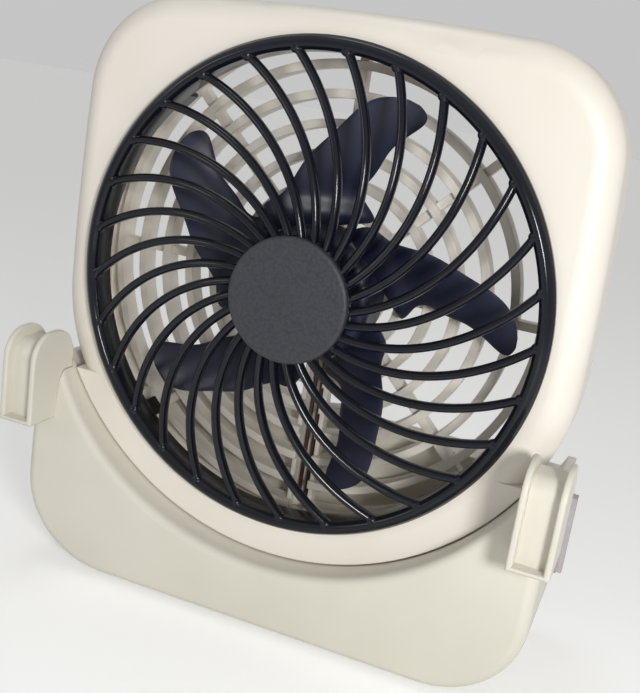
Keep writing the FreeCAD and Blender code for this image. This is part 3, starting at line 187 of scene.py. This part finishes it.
redJacket = mouldedPlastic("redPvcJacket", {  # soft PVC wire jacket
    "colour": "#4a2420", "second": "#3a1c1a", "cloudMm": 8, "smearMm": 3, "roughness": (0.35, 0.5),
    "dust": 0.1, "edgeMm": 0.1, "grainMm": 0.5, "grain": 0.3, "ior": 1.53, "shine": 0.5})


def pebbledDisc(name, look):
    # Textured ABS: the tool is etched with round pebbles, so the disc looks matt. Its colour is painted by
    # height:
    # painted shade makes the hollows darker, and a painted highlight puts a lighter speck on each pebble
    # top.
    material, tree = startMaterial(name)
    place = addNode(tree, "ShaderNodeTexCoord").outputs["Object"]
    pebble = addNode(tree, "ShaderNodeTexVoronoi",
                     {"Vector": place, "Scale": 1000 / look["pebbleMm"], "Smoothness": 0.6},
                     feature="SMOOTH_F1")
    fine = addNode(tree, "ShaderNodeTexNoise",
                   {"Vector": place, "Scale": 1000 / look["fineMm"], "Detail": 4.0, "Roughness": 0.7})
    height = addNode(tree, "ShaderNodeMix",
                     {"Factor": look["fineShare"], 2: pebble.outputs["Distance"], 3: fine.outputs["Fac"]})
    # painted shade in the hollows and painted highlight on the pebble tops, mixed by the relief height
    colour = addNode(tree, "ShaderNodeMix", {"Factor": height.outputs[0],
                                             6: tone(look["high"]), 7: tone(look["low"])},
                     data_type="RGBA")
    edge = addNode(tree, "ShaderNodeBevel", {"Radius": look["edgeMm"] * mm}, samples=edgeSamples)
    bump = addNode(tree, "ShaderNodeBump",
                   {"Height": height.outputs[0], "Strength": 1.0, "Distance": look["depthMm"] * mm,
                    "Normal": edge.outputs["Normal"]}, invert=True)
    surface = addNode(tree, "ShaderNodeBsdfPrincipled",
                      {"Base Color": colour.outputs[2], "Roughness": look["roughness"], "IOR": 1.5,
                       "Normal": bump.outputs["Normal"]})
    finishMaterial(tree, surface)
    return material


# the two colours of each disc are a painted highlight for the pebble tops and painted shade for the hollows
hubTexture = pebbledDisc("navyPebbledAbs", {
    "pebbleMm": 0.85, "fineMm": 0.35, "depthMm": 0.22, "high": "#3c3d45", "low": "#17181e",
    "fineShare": 0.45, "edgeMm": 0.3, "roughness": 0.5})
footRubber = pebbledDisc("blackRubber", {
    "pebbleMm": 0.5, "fineMm": 0.25, "depthMm": 0.03, "high": "#2b2b2c", "low": "#1c1c1d",
    "fineShare": 0.45, "edgeMm": 0.3, "roughness": 0.8})


plating = {"patchMm": 4, "edgeMm": 0.15, "lineDepthMm": 0.01}


def platedMetal(name, look):
    # Plated sheet or wire: clean metal with drawing lines one way and small dull patches.
    material, tree = startMaterial(name)
    place = addNode(tree, "ShaderNodeTexCoord").outputs["Object"]
    drawn = addNode(tree, "ShaderNodeMapping", {"Vector": place, "Scale": look["lines"]})
    lines = addNode(tree, "ShaderNodeTexNoise",
                    {"Vector": drawn.outputs["Vector"], "Scale": 1.0, "Detail": 4.0, "Roughness": 0.6})
    patch = addNode(tree, "ShaderNodeTexNoise",
                    {"Vector": place, "Scale": 1000 / plating["patchMm"], "Detail": 4.0, "Roughness": 0.6})
    colour = addNode(tree, "ShaderNodeMix", {"Factor": patch.outputs["Fac"],
                                             6: tone(look["colour"]), 7: tone(look["dull"])},
                     data_type="RGBA")
    roughness = addNode(tree, "ShaderNodeMapRange",
                        {"Value": lines.outputs["Fac"], "From Min": 0.3, "From Max": 0.7,
                         "To Min": look["roughness"][0], "To Max": look["roughness"][1]})
    edge = addNode(tree, "ShaderNodeBevel", {"Radius": plating["edgeMm"] * mm}, samples=edgeSamples)
    bump = addNode(tree, "ShaderNodeBump",
                   {"Height": lines.outputs["Fac"], "Strength": 0.4,
                    "Distance": plating["lineDepthMm"] * mm,
                    "Normal": edge.outputs["Normal"]})
    surface = addNode(tree, "ShaderNodeBsdfPrincipled",
                      {"Base Color": colour.outputs[2], "Metallic": 1.0,
                       "Roughness": roughness.outputs["Result"], "Normal": bump.outputs["Normal"]})
    finishMaterial(tree, surface)
    return material


zincSteel = platedMetal("zincPlatedSteel", {
    "colour": "#c3c4c6", "dull": "#a3a4a8", "lines": (1500, 120, 1500), "roughness": (0.25, 0.42)})
screwSteel = platedMetal("nickelPlatedScrew", {
    "colour": "#b9b7b2", "dull": "#94928e", "lines": (900, 900, 900), "roughness": (0.22, 0.4)})
springSteel = platedMetal("nickelPlatedContact", {
    "colour": "#d0cfca", "dull": "#b3b1aa", "lines": (1200, 200, 1200), "roughness": (0.2, 0.35)})
brass = platedMetal("brassTerminal", {
    "colour": "#cfae62", "dull": "#b08d45", "lines": (1200, 200, 1200), "roughness": (0.25, 0.4)})


def wrappedCell(name, look):
    # A cell in a plain shrunk sleeve: glossy film, with bare steel at the two ends.
    material, tree = startMaterial(name)
    place = addNode(tree, "ShaderNodeTexCoord").outputs["Object"]
    along = addNode(tree, "ShaderNodeSeparateXYZ", {"Vector": place})
    bare = addNode(tree, "ShaderNodeMath", {0: along.outputs["Y"], 1: look["sleeveFront"]},
                   operation="LESS_THAN")
    tinted = addNode(tree, "ShaderNodeMath", {0: along.outputs["Y"], 1: look["bandStart"]},
                     operation="LESS_THAN")
    film = addNode(tree, "ShaderNodeMix", {"Factor": tinted.outputs["Value"],
                                           6: tone(look["colour"]), 7: tone(look["band"])},
                   data_type="RGBA")
    shade = addNode(tree, "ShaderNodeTexNoise",
                    {"Vector": place, "Scale": 1000 / look["smearMm"], "Detail": 3.0})
    rough = addNode(tree, "ShaderNodeMapRange",
                    {"Value": shade.outputs["Fac"], "To Min": 0.15, "To Max": 0.35})
    colour = addNode(tree, "ShaderNodeMix", {"Factor": bare.outputs["Value"],
                                             6: film.outputs[2], 7: tone(look["steel"])},
                     data_type="RGBA")
    surface = addNode(tree, "ShaderNodeBsdfPrincipled",
                      {"Base Color": colour.outputs[2], "Metallic": bare.outputs["Value"],
                       "Roughness": rough.outputs["Result"]})
    finishMaterial(tree, surface)
    return material


cellFilm = wrappedCell("cellSleeve", {
    "sleeveFront": -0.0187, "bandStart": 0.0, "colour": "#2d3036", "band": "#7d8087",
    "steel": "#bcbcbe", "smearMm": 5})
print("finishes made")


def startTree(name, inputs):  # a node group with named inputs and one mesh coming out
    tree = bpy.data.node_groups.new(name, "GeometryNodeTree")
    for title, kind in inputs:
        tree.interface.new_socket(name=title, in_out="INPUT", socket_type="NodeSocket" + kind)
    tree.interface.new_socket(name="Mesh", in_out="OUTPUT", socket_type="NodeSocketGeometry")
    return tree, addNode(tree, "NodeGroupInput").outputs


def finishTree(tree, geometry, finish):
    dressed = addNode(tree, "GeometryNodeSetMaterial", {"Geometry": geometry, "Material": finish})
    addNode(tree, "NodeGroupOutput", {"Mesh": dressed.outputs["Geometry"]})


# Front grille: ribs by rule, ring and hub turned about the fan axis
grille = {
    "ribs": 29, "rootRadius": 17.65, "footRadius": 69.4, "sweepDegrees": 37.4, "curl": 0.93,
    "fall": 7.6, "rise": 0.6, "width": 2.5, "depth": 3.8, "nubRadius": 1.7, "nubProud": 0.9,
    "steps": 30, "sides": 16,
    "ringOutline": [(73.0, 0.58, 0.1), (73.0, -1.0, 0.5), (72.2, -2.3, 0.9), (70.9, -3.4, 1.3),
                    (69.6, -3.1, 1.0), (68.6, -1.8, 0.7), (68.6, 6.0, 0.3), (70.4, 6.0, 0.3),
                    (70.4, 0.58, 0.2)],
    "ringSteps": 240,
    "hubOutline": [(0.001, -10.1, 0), (18.25, -10.1, 0.05), (18.25, -6.5, 0.5), (0.001, -6.5, 0)],
    "hubSteps": 128, "cornerSteps": 5, "smoothDegrees": 35,
    "clips": 4, "clipSize": (1.6, 7.0, 6.0), "clipRadius": 69.6, "clipBack": 8.5, "clipRound": 0.3,
}


def ribTree():  # each rib swings by sweep * share ** curl on its way out, and falls back as share ** 2
    tree, given = startTree("ribs", (
        ("Ribs", "Int"), ("Root Radius", "Float"), ("Foot Radius", "Float"), ("Sweep", "Float"),
        ("Curl", "Float"), ("Fall", "Float"), ("Rise", "Float"), ("Width", "Float"),
        ("Depth", "Float"), ("Nub Radius", "Float"), ("Nub Proud", "Float"), ("Steps", "Int"),
        ("Sides", "Int"), ("Finish", "Material")))
    line = addNode(tree, "GeometryNodeCurvePrimitiveLine", {"End": (1, 0, 0)})
    dots = addNode(tree, "GeometryNodeResampleCurve",
                   {"Curve": line.outputs["Curve"], "Count": given["Steps"]})
    share = addNode(tree, "GeometryNodeSplineParameter").outputs["Factor"]
    span = addNode(tree, "ShaderNodeMath", {0: given["Foot Radius"], 1: given["Root Radius"]},
                   operation="SUBTRACT")
    radius = addNode(tree, "ShaderNodeMath",
                     {0: span.outputs[0], 1: share, 2: given["Root Radius"]},
                     operation="MULTIPLY_ADD")
    curled = addNode(tree, "ShaderNodeMath", {0: share, 1: given["Curl"]}, operation="POWER")
    angle = addNode(tree, "ShaderNodeMath", {0: curled.outputs[0], 1: given["Sweep"]},
                    operation="MULTIPLY")
    cosine = addNode(tree, "ShaderNodeMath", {0: angle.outputs[0]}, operation="COSINE")
    sine = addNode(tree, "ShaderNodeMath", {0: angle.outputs[0]}, operation="SINE")
    across = addNode(tree, "ShaderNodeMath", {0: cosine.outputs[0], 1: radius.outputs[0]},
                     operation="MULTIPLY")
    upright = addNode(tree, "ShaderNodeMath", {0: sine.outputs[0], 1: radius.outputs[0]},
                      operation="MULTIPLY")
    squared = addNode(tree, "ShaderNodeMath", {0: share, 1: share}, operation="MULTIPLY")
    left = addNode(tree, "ShaderNodeMath", {0: 1.0, 1: squared.outputs[0]}, operation="SUBTRACT")
    forward = addNode(tree, "ShaderNodeMath",
                      {0: left.outputs[0], 1: given["Fall"], 2: given["Rise"]},
                      operation="MULTIPLY_ADD")
    spot = addNode(tree, "ShaderNodeCombineXYZ",
                   {"X": across.outputs[0], "Y": upright.outputs[0], "Z": forward.outputs[0]})
    bent = addNode(tree, "GeometryNodeSetPosition",
                   {"Geometry": dots.outputs["Curve"], "Position": spot.outputs["Vector"]})
    levelled = addNode(tree, "GeometryNodeSetCurveNormal", {"Curve": bent.outputs["Geometry"]},
                       mode="Z_UP")
    oval = addNode(tree, "GeometryNodeCurvePrimitiveCircle",
                   {"Resolution": given["Sides"], "Radius": 0.5})
    ovalSize = addNode(tree, "ShaderNodeCombineXYZ", {"X": given["Width"], "Y": given["Depth"], "Z": 1.0})
    section = addNode(tree, "GeometryNodeTransform",
                      {"Geometry": oval.outputs["Curve"], "Scale": ovalSize.outputs["Vector"]})
    rib = addNode(tree, "GeometryNodeCurveToMesh",
                  {"Curve": levelled.outputs["Curve"], "Profile Curve": section.outputs["Geometry"],
                   "Fill Caps": True})
    ball = addNode(tree, "GeometryNodeMeshIcoSphere", {"Radius": given["Nub Radius"], "Subdivisions": 3})
    lastCosine = addNode(tree, "ShaderNodeMath", {0: given["Sweep"]}, operation="COSINE")
    lastSine = addNode(tree, "ShaderNodeMath", {0: given["Sweep"]}, operation="SINE")
    nubX = addNode(tree, "ShaderNodeMath", {0: lastCosine.outputs[0], 1: given["Foot Radius"]},
                   operation="MULTIPLY")
    nubY = addNode(tree, "ShaderNodeMath", {0: lastSine.outputs[0], 1: given["Foot Radius"]},
                   operation="MULTIPLY")
    nubZ = addNode(tree, "ShaderNodeMath", {0: given["Rise"], 1: given["Nub Proud"]}, operation="ADD")
    nubSpot = addNode(tree, "ShaderNodeCombineXYZ",
                      {"X": nubX.outputs[0], "Y": nubY.outputs[0], "Z": nubZ.outputs[0]})
    nub = addNode(tree, "GeometryNodeTransform",
                  {"Geometry": ball.outputs["Mesh"], "Translation": nubSpot.outputs["Vector"]})
    oneRib = addNode(tree, "GeometryNodeJoinGeometry")
    tree.links.new(rib.outputs["Mesh"], oneRib.inputs["Geometry"])
    tree.links.new(nub.outputs["Geometry"], oneRib.inputs["Geometry"])
    stops = addNode(tree, "GeometryNodePoints", {"Count": given["Ribs"]})
    index = addNode(tree, "GeometryNodeInputIndex").outputs["Index"]
    step = addNode(tree, "ShaderNodeMath", {0: 2 * math.pi, 1: given["Ribs"]}, operation="DIVIDE")
    turn = addNode(tree, "ShaderNodeMath", {0: step.outputs[0], 1: index}, operation="MULTIPLY")
    turnAbout = addNode(tree, "ShaderNodeCombineXYZ", {"Z": turn.outputs[0]})
    around = addNode(tree, "GeometryNodeInstanceOnPoints",
                     {"Points": stops.outputs["Points"], "Instance": oneRib.outputs["Geometry"],
                      "Rotation": turnAbout.outputs["Vector"]})
    real = addNode(tree, "GeometryNodeRealizeInstances", {"Geometry": around.outputs["Instances"]})
    stood = addNode(tree, "GeometryNodeTransform",
                    {"Geometry": real.outputs["Geometry"], "Translation": tuple(ringCentre / mm),
                     "Rotation": (math.pi / 2, 0, 0)})
    sized = addNode(tree, "GeometryNodeTransform",
                    {"Geometry": stood.outputs["Geometry"], "Scale": (mm, mm, mm)})
    smooth = addNode(tree, "GeometryNodeSetShadeSmooth", {"Geometry": sized.outputs["Geometry"]})
    finishTree(tree, smooth.outputs["Geometry"], given["Finish"])
    return tree


def meshFromTree(name, tree, values, start=None):
    holder = bpy.data.objects.new(name + "Holder", start or bpy.data.meshes.new(name + "Start"))
    bpy.context.scene.collection.objects.link(holder)
    modifier = holder.modifiers.new(name, "NODES")
    modifier.node_group = tree
    for item in tree.interface.items_tree:
        if item.in_out == "INPUT" and item.name in values:
            modifier[item.identifier] = values[item.name]
    graph = bpy.context.evaluated_depsgraph_get()
    mesh = bpy.data.meshes.new_from_object(holder.evaluated_get(graph), depsgraph=graph)
    holder.modifiers.remove(modifier)
    bpy.data.objects.remove(holder)
    mesh.name = name
    return mesh


def softCorners(outline):  # each corner is (radius, depth, rounding), all in millimetres
    points = []
    count = len(outline)
    for i, (x, y, rounding) in enumerate(outline):
        here = Vector((x, y))
        if rounding == 0:
            points.append(here)
            continue
        before = (Vector(outline[i - 1][:2]) - here).normalized()
        after = (Vector(outline[(i + 1) % count][:2]) - here).normalized()
        half = before.angle(after) / 2
        reach = rounding / math.tan(half)
        middle = here + (before + after).normalized() * (rounding / math.sin(half))
        start, end = here + before * reach - middle, here + after * reach - middle
        swing = start.angle_signed(end)
        for k in range(grille["cornerSteps"] + 1):
            part = swing * k / grille["cornerSteps"]
            points.append(middle + Vector((start.x * math.cos(part) + start.y * math.sin(part),
                                           start.y * math.cos(part) - start.x * math.sin(part))))
    return points


def turnedMesh(name, outline, steps):  # an outline turned about the fan axis, as one closed skin
    points = softCorners(outline)
    mesh = bpy.data.meshes.new(name)
    skin = bmesh.new()
    rows = []
    for k in range(steps):
        angle = 2 * math.pi * k / steps
        rows.append([skin.verts.new(ringCentre + Vector((p.x * math.cos(angle), p.y,
                                                         p.x * math.sin(angle))) * mm) for p in points])
    for k in range(steps):
        a, b = rows[k], rows[(k + 1) % steps]
        for j in range(len(points)):
            n = (j + 1) % len(points)
            skin.faces.new((a[j], a[n], b[n], b[j]))
    bmesh.ops.remove_doubles(skin, verts=skin.verts, dist=0.002 * mm)
    bmesh.ops.recalc_face_normals(skin, faces=skin.faces)
    skin.to_mesh(mesh)
    skin.free()
    mesh.shade_smooth()
    mesh.set_sharp_from_angle(angle=math.radians(grille["smoothDegrees"]))
    return mesh


def joined(name, meshes):
    whole = bmesh.new()
    for mesh in meshes:
        whole.from_mesh(mesh)
    result = bpy.data.meshes.new(name)
    whole.to_mesh(result)
    whole.free()
    return result


ribMesh = meshFromTree("ribs", ribTree(), {
    "Ribs": grille["ribs"], "Root Radius": grille["rootRadius"], "Foot Radius": grille["footRadius"],
    "Sweep": math.radians(grille["sweepDegrees"]), "Curl": grille["curl"], "Fall": grille["fall"],
    "Rise": grille["rise"], "Width": grille["width"], "Depth": grille["depth"],
    "Nub Radius": grille["nubRadius"], "Nub Proud": grille["nubProud"], "Steps": grille["steps"],
    "Sides": grille["sides"], "Finish": navyPlastic})
ringMesh = turnedMesh("ring", grille["ringOutline"], grille["ringSteps"])
hubMesh = turnedMesh("hub", grille["hubOutline"], grille["hubSteps"])


def clipMesh():  # snap clips behind the skirt, one in each corner
    skin = bmesh.new()
    for k in range(grille["clips"]):
        turn = Matrix.Rotation(-math.radians(360 * (k + 0.5) / grille["clips"]), 4, "Y")
        size = Matrix.Diagonal((*grille["clipSize"], 1.0))
        place = Matrix.Translation(ringCentre) @ Matrix.Scale(mm, 4) @ turn
        place = place @ Matrix.Translation((grille["clipRadius"], grille["clipBack"], 0)) @ size
        bmesh.ops.create_cube(skin, size=1.0, matrix=place)
    bmesh.ops.bevel(skin, geom=skin.edges[:], offset=grille["clipRound"] * mm, segments=2,
                    affect="EDGES")
    mesh = bpy.data.meshes.new("clips")
    skin.to_mesh(mesh)
    skin.free()
    return mesh


grilleMesh = joined("frontGrille", [ribMesh, ringMesh, hubMesh, clipMesh()])
keepPiece("frontGrille", grilleMesh, navyPlastic, "head", "navy_gloss", "front_grille")
print("front grille made")


# Screws: one turned screw with a cross recess, set at each hole
screwSets = {  # back is where the head ends; each place is (across, up)
    "headScrews": {"body": "head", "node": "head_screws", "length": 20.0, "back": 14.0,
                   "at": [(65.0, 169.6), (-65.0, 169.6)]},
    "baseScrews": {"body": "base", "node": "base_screws", "length": 40.0, "back": 35.5,
                   "at": [(33.0, 9.0), (-33.0, 9.0), (77.0, 37.1), (-77.0, 37.1)]},
    "motorScrews": {"body": "head", "node": "motor_screws", "length": 4.6, "back": 14.0,
                    "at": [(8.0, 106.6), (-8.0, 106.6)]},
}

screwTurn, screwSeed = 1.5, 7  # how far a cross recess may be turned, in radians


screwShape = {  # one screw for all, so only its length differs; outlines are (radius, height)
    "head": [(0.0, 0.0), (1.9, -0.05), (2.45, -0.3), (2.75, -0.7), (2.78, -1.35), (2.6, -1.6),
             (1.25, -1.62)],
    "threadStart": 1.9, "threadEnd": 1.2, "pitch": 0.95, "core": 1.12, "crest": 1.38, "flank": 0.32,
    "tip": [(1.05, 0.6), (0.5, 0.05), (0.0, 0.0)],
    "recess": (3.1, 1.9, 0.62), "steps": 32, "smoothDegrees": 30,
}


def screwMesh(name, length):
    skin = bmesh.new()
    outline = list(screwShape["head"])
    core, crest, flank = screwShape["core"], screwShape["crest"], screwShape["flank"]
    depth = screwShape["threadStart"]
    while depth < length - screwShape["threadEnd"]:
        outline += [(core, -depth), (crest, -depth - flank), (core, -depth - 2 * flank)]
        depth += screwShape["pitch"]
    outline += [(radius, rise - length) for radius, rise in screwShape["tip"]]
    steps = screwShape["steps"]
    rows = [[skin.verts.new(Vector((r * math.cos(2 * math.pi * k / steps), y,
                                    r * math.sin(2 * math.pi * k / steps))) * mm) for r, y in outline]
            for k in range(steps)]
    for k in range(steps):
        a, b = rows[k], rows[(k + 1) % steps]
        for j in range(len(outline) - 1):
            skin.faces.new((a[j], a[j + 1], b[j + 1], b[j]))
    bmesh.ops.remove_doubles(skin, verts=skin.verts, dist=0.001 * mm)
    bmesh.ops.recalc_face_normals(skin, faces=skin.faces)
    mesh = bpy.data.meshes.new(name)
    skin.to_mesh(mesh)
    skin.free()
    screw = bpy.data.objects.new(name, mesh)
    recess = bmesh.new()
    for turn in (0, math.pi / 2):
        size = Matrix.Diagonal([side * mm for side in screwShape["recess"]] + [1])
        place = Matrix.Rotation(turn, 4, "Y") @ size
        bmesh.ops.create_cube(recess, size=1.0, matrix=place)
    crossMesh = bpy.data.meshes.new(name + "Cross")
    recess.to_mesh(crossMesh)
    recess.free()
    cross = bpy.data.objects.new(name + "Cross", crossMesh)
    for item in (screw, cross):
        bpy.context.scene.collection.objects.link(item)
    cutter = screw.modifiers.new("recess", "BOOLEAN")
    cutter.object = cross
    cutter.operation = "DIFFERENCE"
    cutter.use_self = True
    graph = bpy.context.evaluated_depsgraph_get()
    finished = bpy.data.meshes.new_from_object(screw.evaluated_get(graph), depsgraph=graph)
    screw.modifiers.remove(cutter)
    bpy.data.objects.remove(cross)
    screw.data = finished
    finished.shade_smooth()
    finished.set_sharp_from_angle(angle=math.radians(screwShape["smoothDegrees"]))
    return screw


def placeTree():  # a copy at each place, each turned by its own amount about the fan's depth
    tree, given = startTree("placeCopies", (
        ("Places", "Geometry"), ("Piece", "Object"), ("Turn Spread", "Float"), ("Seed", "Int"),
        ("Finish", "Material")))
    piece = addNode(tree, "GeometryNodeObjectInfo", {"Object": given["Piece"]})
    turn = addNode(tree, "FunctionNodeRandomValue", {"Seed": given["Seed"], 3: given["Turn Spread"]})
    about = addNode(tree, "ShaderNodeCombineXYZ", {"Y": turn.outputs[1]})
    copies = addNode(tree, "GeometryNodeInstanceOnPoints",
                     {"Points": given["Places"], "Instance": piece.outputs["Geometry"],
                      "Rotation": about.outputs["Vector"]})
    real = addNode(tree, "GeometryNodeRealizeInstances", {"Geometry": copies.outputs["Instances"]})
    finishTree(tree, real.outputs["Geometry"], given["Finish"])
    return tree


copyTree = placeTree()
for name, screws in screwSets.items():
    screw = screwMesh(name + "One", screws["length"])
    dots = bpy.data.meshes.new(name + "Places")
    dots.from_pydata([Vector((x, screws["back"], z)) * mm for x, z in screws["at"]], [], [])
    mesh = meshFromTree(name, copyTree, {"Piece": screw, "Turn Spread": screwTurn, "Seed": screwSeed,
                                         "Finish": screwSteel}, dots)
    bpy.data.objects.remove(screw)
    keepPiece(name, mesh, screwSteel, screws["body"], "screw_steel", screws["node"])
print("screws made")


# Battery springs: flat cones of wire
spring = {"turns": 2.6, "wide": 5.5, "narrow": 3.4, "height": 0.9, "wire": 0.38, "front": 31.92,
          "across": 62.7, "up": 21.7, "coilSteps": 40, "wireSides": 12}


def springTree():
    tree, given = startTree("coil", (
        ("Turns", "Float"), ("Wide", "Float"), ("Narrow", "Float"), ("Height", "Float"),
        ("Wire", "Float"), ("Place", "Vector"), ("Finish", "Material")))
    coil = addNode(tree, "GeometryNodeCurveSpiral",
                   {"Resolution": spring["coilSteps"], "Rotations": given["Turns"],
                    "Start Radius": given["Narrow"], "End Radius": given["Wide"],
                    "Height": given["Height"]})
    wire = addNode(tree, "GeometryNodeCurvePrimitiveCircle",
                   {"Resolution": spring["wireSides"], "Radius": given["Wire"]})
    tube = addNode(tree, "GeometryNodeCurveToMesh",
                   {"Curve": coil.outputs["Curve"], "Profile Curve": wire.outputs["Curve"],
                    "Fill Caps": True})
    stood = addNode(tree, "GeometryNodeTransform",
                    {"Geometry": tube.outputs["Mesh"], "Translation": given["Place"],
                     "Rotation": (-math.pi / 2, 0, 0)})
    sized = addNode(tree, "GeometryNodeTransform",
                    {"Geometry": stood.outputs["Geometry"], "Scale": (mm, mm, mm)})
    smooth = addNode(tree, "GeometryNodeSetShadeSmooth", {"Geometry": sized.outputs["Geometry"]})
    real = addNode(tree, "GeometryNodeRealizeInstances", {"Geometry": smooth.outputs["Geometry"]})
    finishTree(tree, real.outputs["Geometry"], given["Finish"])
    return tree


coilTree = springTree()
for side, across in (("left", -spring["across"]), ("right", spring["across"])):
    mesh = meshFromTree("spring_" + side, coilTree, {
        "Turns": spring["turns"], "Wide": spring["wide"], "Narrow": spring["narrow"],
        "Height": spring["height"], "Wire": spring["wire"],
        "Place": (across, spring["front"] + spring["wire"], spring["up"]), "Finish": springSteel})
    keepPiece("spring_" + side, mesh, springSteel, "base", "contact_steel", "battery_spring_" + side)
print("springs made")


# The solids that keep their shape get their finish
finishes = {
    "head_front_shell": ivoryPlastic, "head_rear_shell": ivoryPlastic, "rear_grille": ivoryPlastic,
    "tilt_pin_left": ivoryPlastic, "tilt_pin_right": ivoryPlastic,
    "base_front_shell": creamPlastic, "base_rear_shell": creamPlastic,
    "ear_left": creamPlastic, "ear_right": creamPlastic,
    "battery_cap_left": creamPlastic, "battery_cap_right": creamPlastic,
    "grille_hub_cap": hubTexture, "impeller": bladePlastic,
    "motor_can": zincSteel, "armature": zincSteel, "motor_shaft": zincSteel,
    "motor_end_cap": blackPlastic, "motor_leads": redJacket, "motor_terminals": brass,
    "tilt_bush_left": tubePlastic, "tilt_bush_right": tubePlastic,
    "battery_tube_left": tubePlastic, "battery_tube_right": tubePlastic,
    "battery_contact_left": springSteel, "battery_contact_right": springSteel,
    "battery_cell_left": cellFilm, "battery_cell_right": cellFilm,
    "switch_spindle": springSteel, "rotary_switch": blackPlastic, "power_socket": blackPlastic,
    "speed_knob": knobPlastic, "rubber_feet": footRubber,
}
for name, material in finishes.items():
    for slot in nodes[name].material_slots:
        slot.material = material
print("finishes set")


# Studio: pale floor, soft light from the right, the left and above
studio = {
    "floorColour": "#eeeeec", "floorReach": 6, "floorGlow": 0.3, "roomLight": 0.3, "backdrop": 0.56,
    "lamps": [
        {"name": "key", "place": (0.32, -0.42, 0.22), "target": (0.01, 0, 0.1), "width": 0.12, "power": 1.9},
        {"name": "fill", "place": (-0.5, -0.6, 0.3), "target": (0, 0, 0.08), "width": 0.2, "power": 0.5},
        {"name": "top", "place": (-0.1, 0.05, 0.7), "target": (0, 0, 0.1), "width": 0.25, "power": 0.5},
    ],
}


def makeFloor():
    mesh = bpy.data.meshes.new("floor")
    far = studio["floorReach"]
    mesh.from_pydata([(-far, -far, 0), (far, -far, 0), (far, far, 0), (-far, far, 0)], [],
                     [(0, 1, 2, 3)])
    floor = bpy.data.objects.new("floor", mesh)
    bpy.context.scene.collection.objects.link(floor)
    material, tree = startMaterial("paperFloor")  # matt background paper
    path = addNode(tree, "ShaderNodeLightPath")
    seen = addNode(tree, "ShaderNodeMath",
                   {0: path.outputs["Is Camera Ray"], 1: path.outputs["Is Glossy Ray"]}, operation="MAXIMUM")
    glow = addNode(tree, "ShaderNodeMath", {0: seen.outputs["Value"], 1: studio["floorGlow"]},
                   operation="MULTIPLY")
    surface = addNode(tree, "ShaderNodeBsdfPrincipled",
                      {"Base Color": tone(studio["floorColour"]), "Roughness": 0.9,
                       "Emission Color": (1, 1, 1, 1), "Emission Strength": glow.outputs["Value"]})
    finishMaterial(tree, surface)
    mesh.materials.append(material)


def makeRoom():
    world = bpy.data.worlds.new("room")
    bpy.context.scene.world = world
    world.use_nodes = True
    tree = world.node_tree
    tree.nodes.clear()
    path = addNode(tree, "ShaderNodeLightPath")
    seen = addNode(tree, "ShaderNodeMath",
                   {0: path.outputs["Is Camera Ray"], 1: path.outputs["Is Glossy Ray"]}, operation="MAXIMUM")
    strength = addNode(tree, "ShaderNodeMapRange",
                       {"Value": seen.outputs["Value"], "To Min": studio["roomLight"],
                        "To Max": studio["backdrop"]})
    room = addNode(tree, "ShaderNodeBackground",
                   {"Color": (1, 1, 1, 1), "Strength": strength.outputs["Result"]})
    addNode(tree, "ShaderNodeOutputWorld", {"Surface": room.outputs["Background"]})


def makeLamps():
    for lamp in studio["lamps"]:
        data = bpy.data.lights.new(lamp["name"], "AREA")
        data.shape = "DISK"
        data.size = lamp["width"]
        data.energy = lamp["power"]
        holder = bpy.data.objects.new(lamp["name"], data)
        bpy.context.scene.collection.objects.link(holder)
        place = Vector(lamp["place"])
        holder.location = place
        holder.rotation_euler = (place - Vector(lamp["target"])).to_track_quat("Z", "Y").to_euler()


makeFloor()
makeRoom()
makeLamps()
print("studio lit")
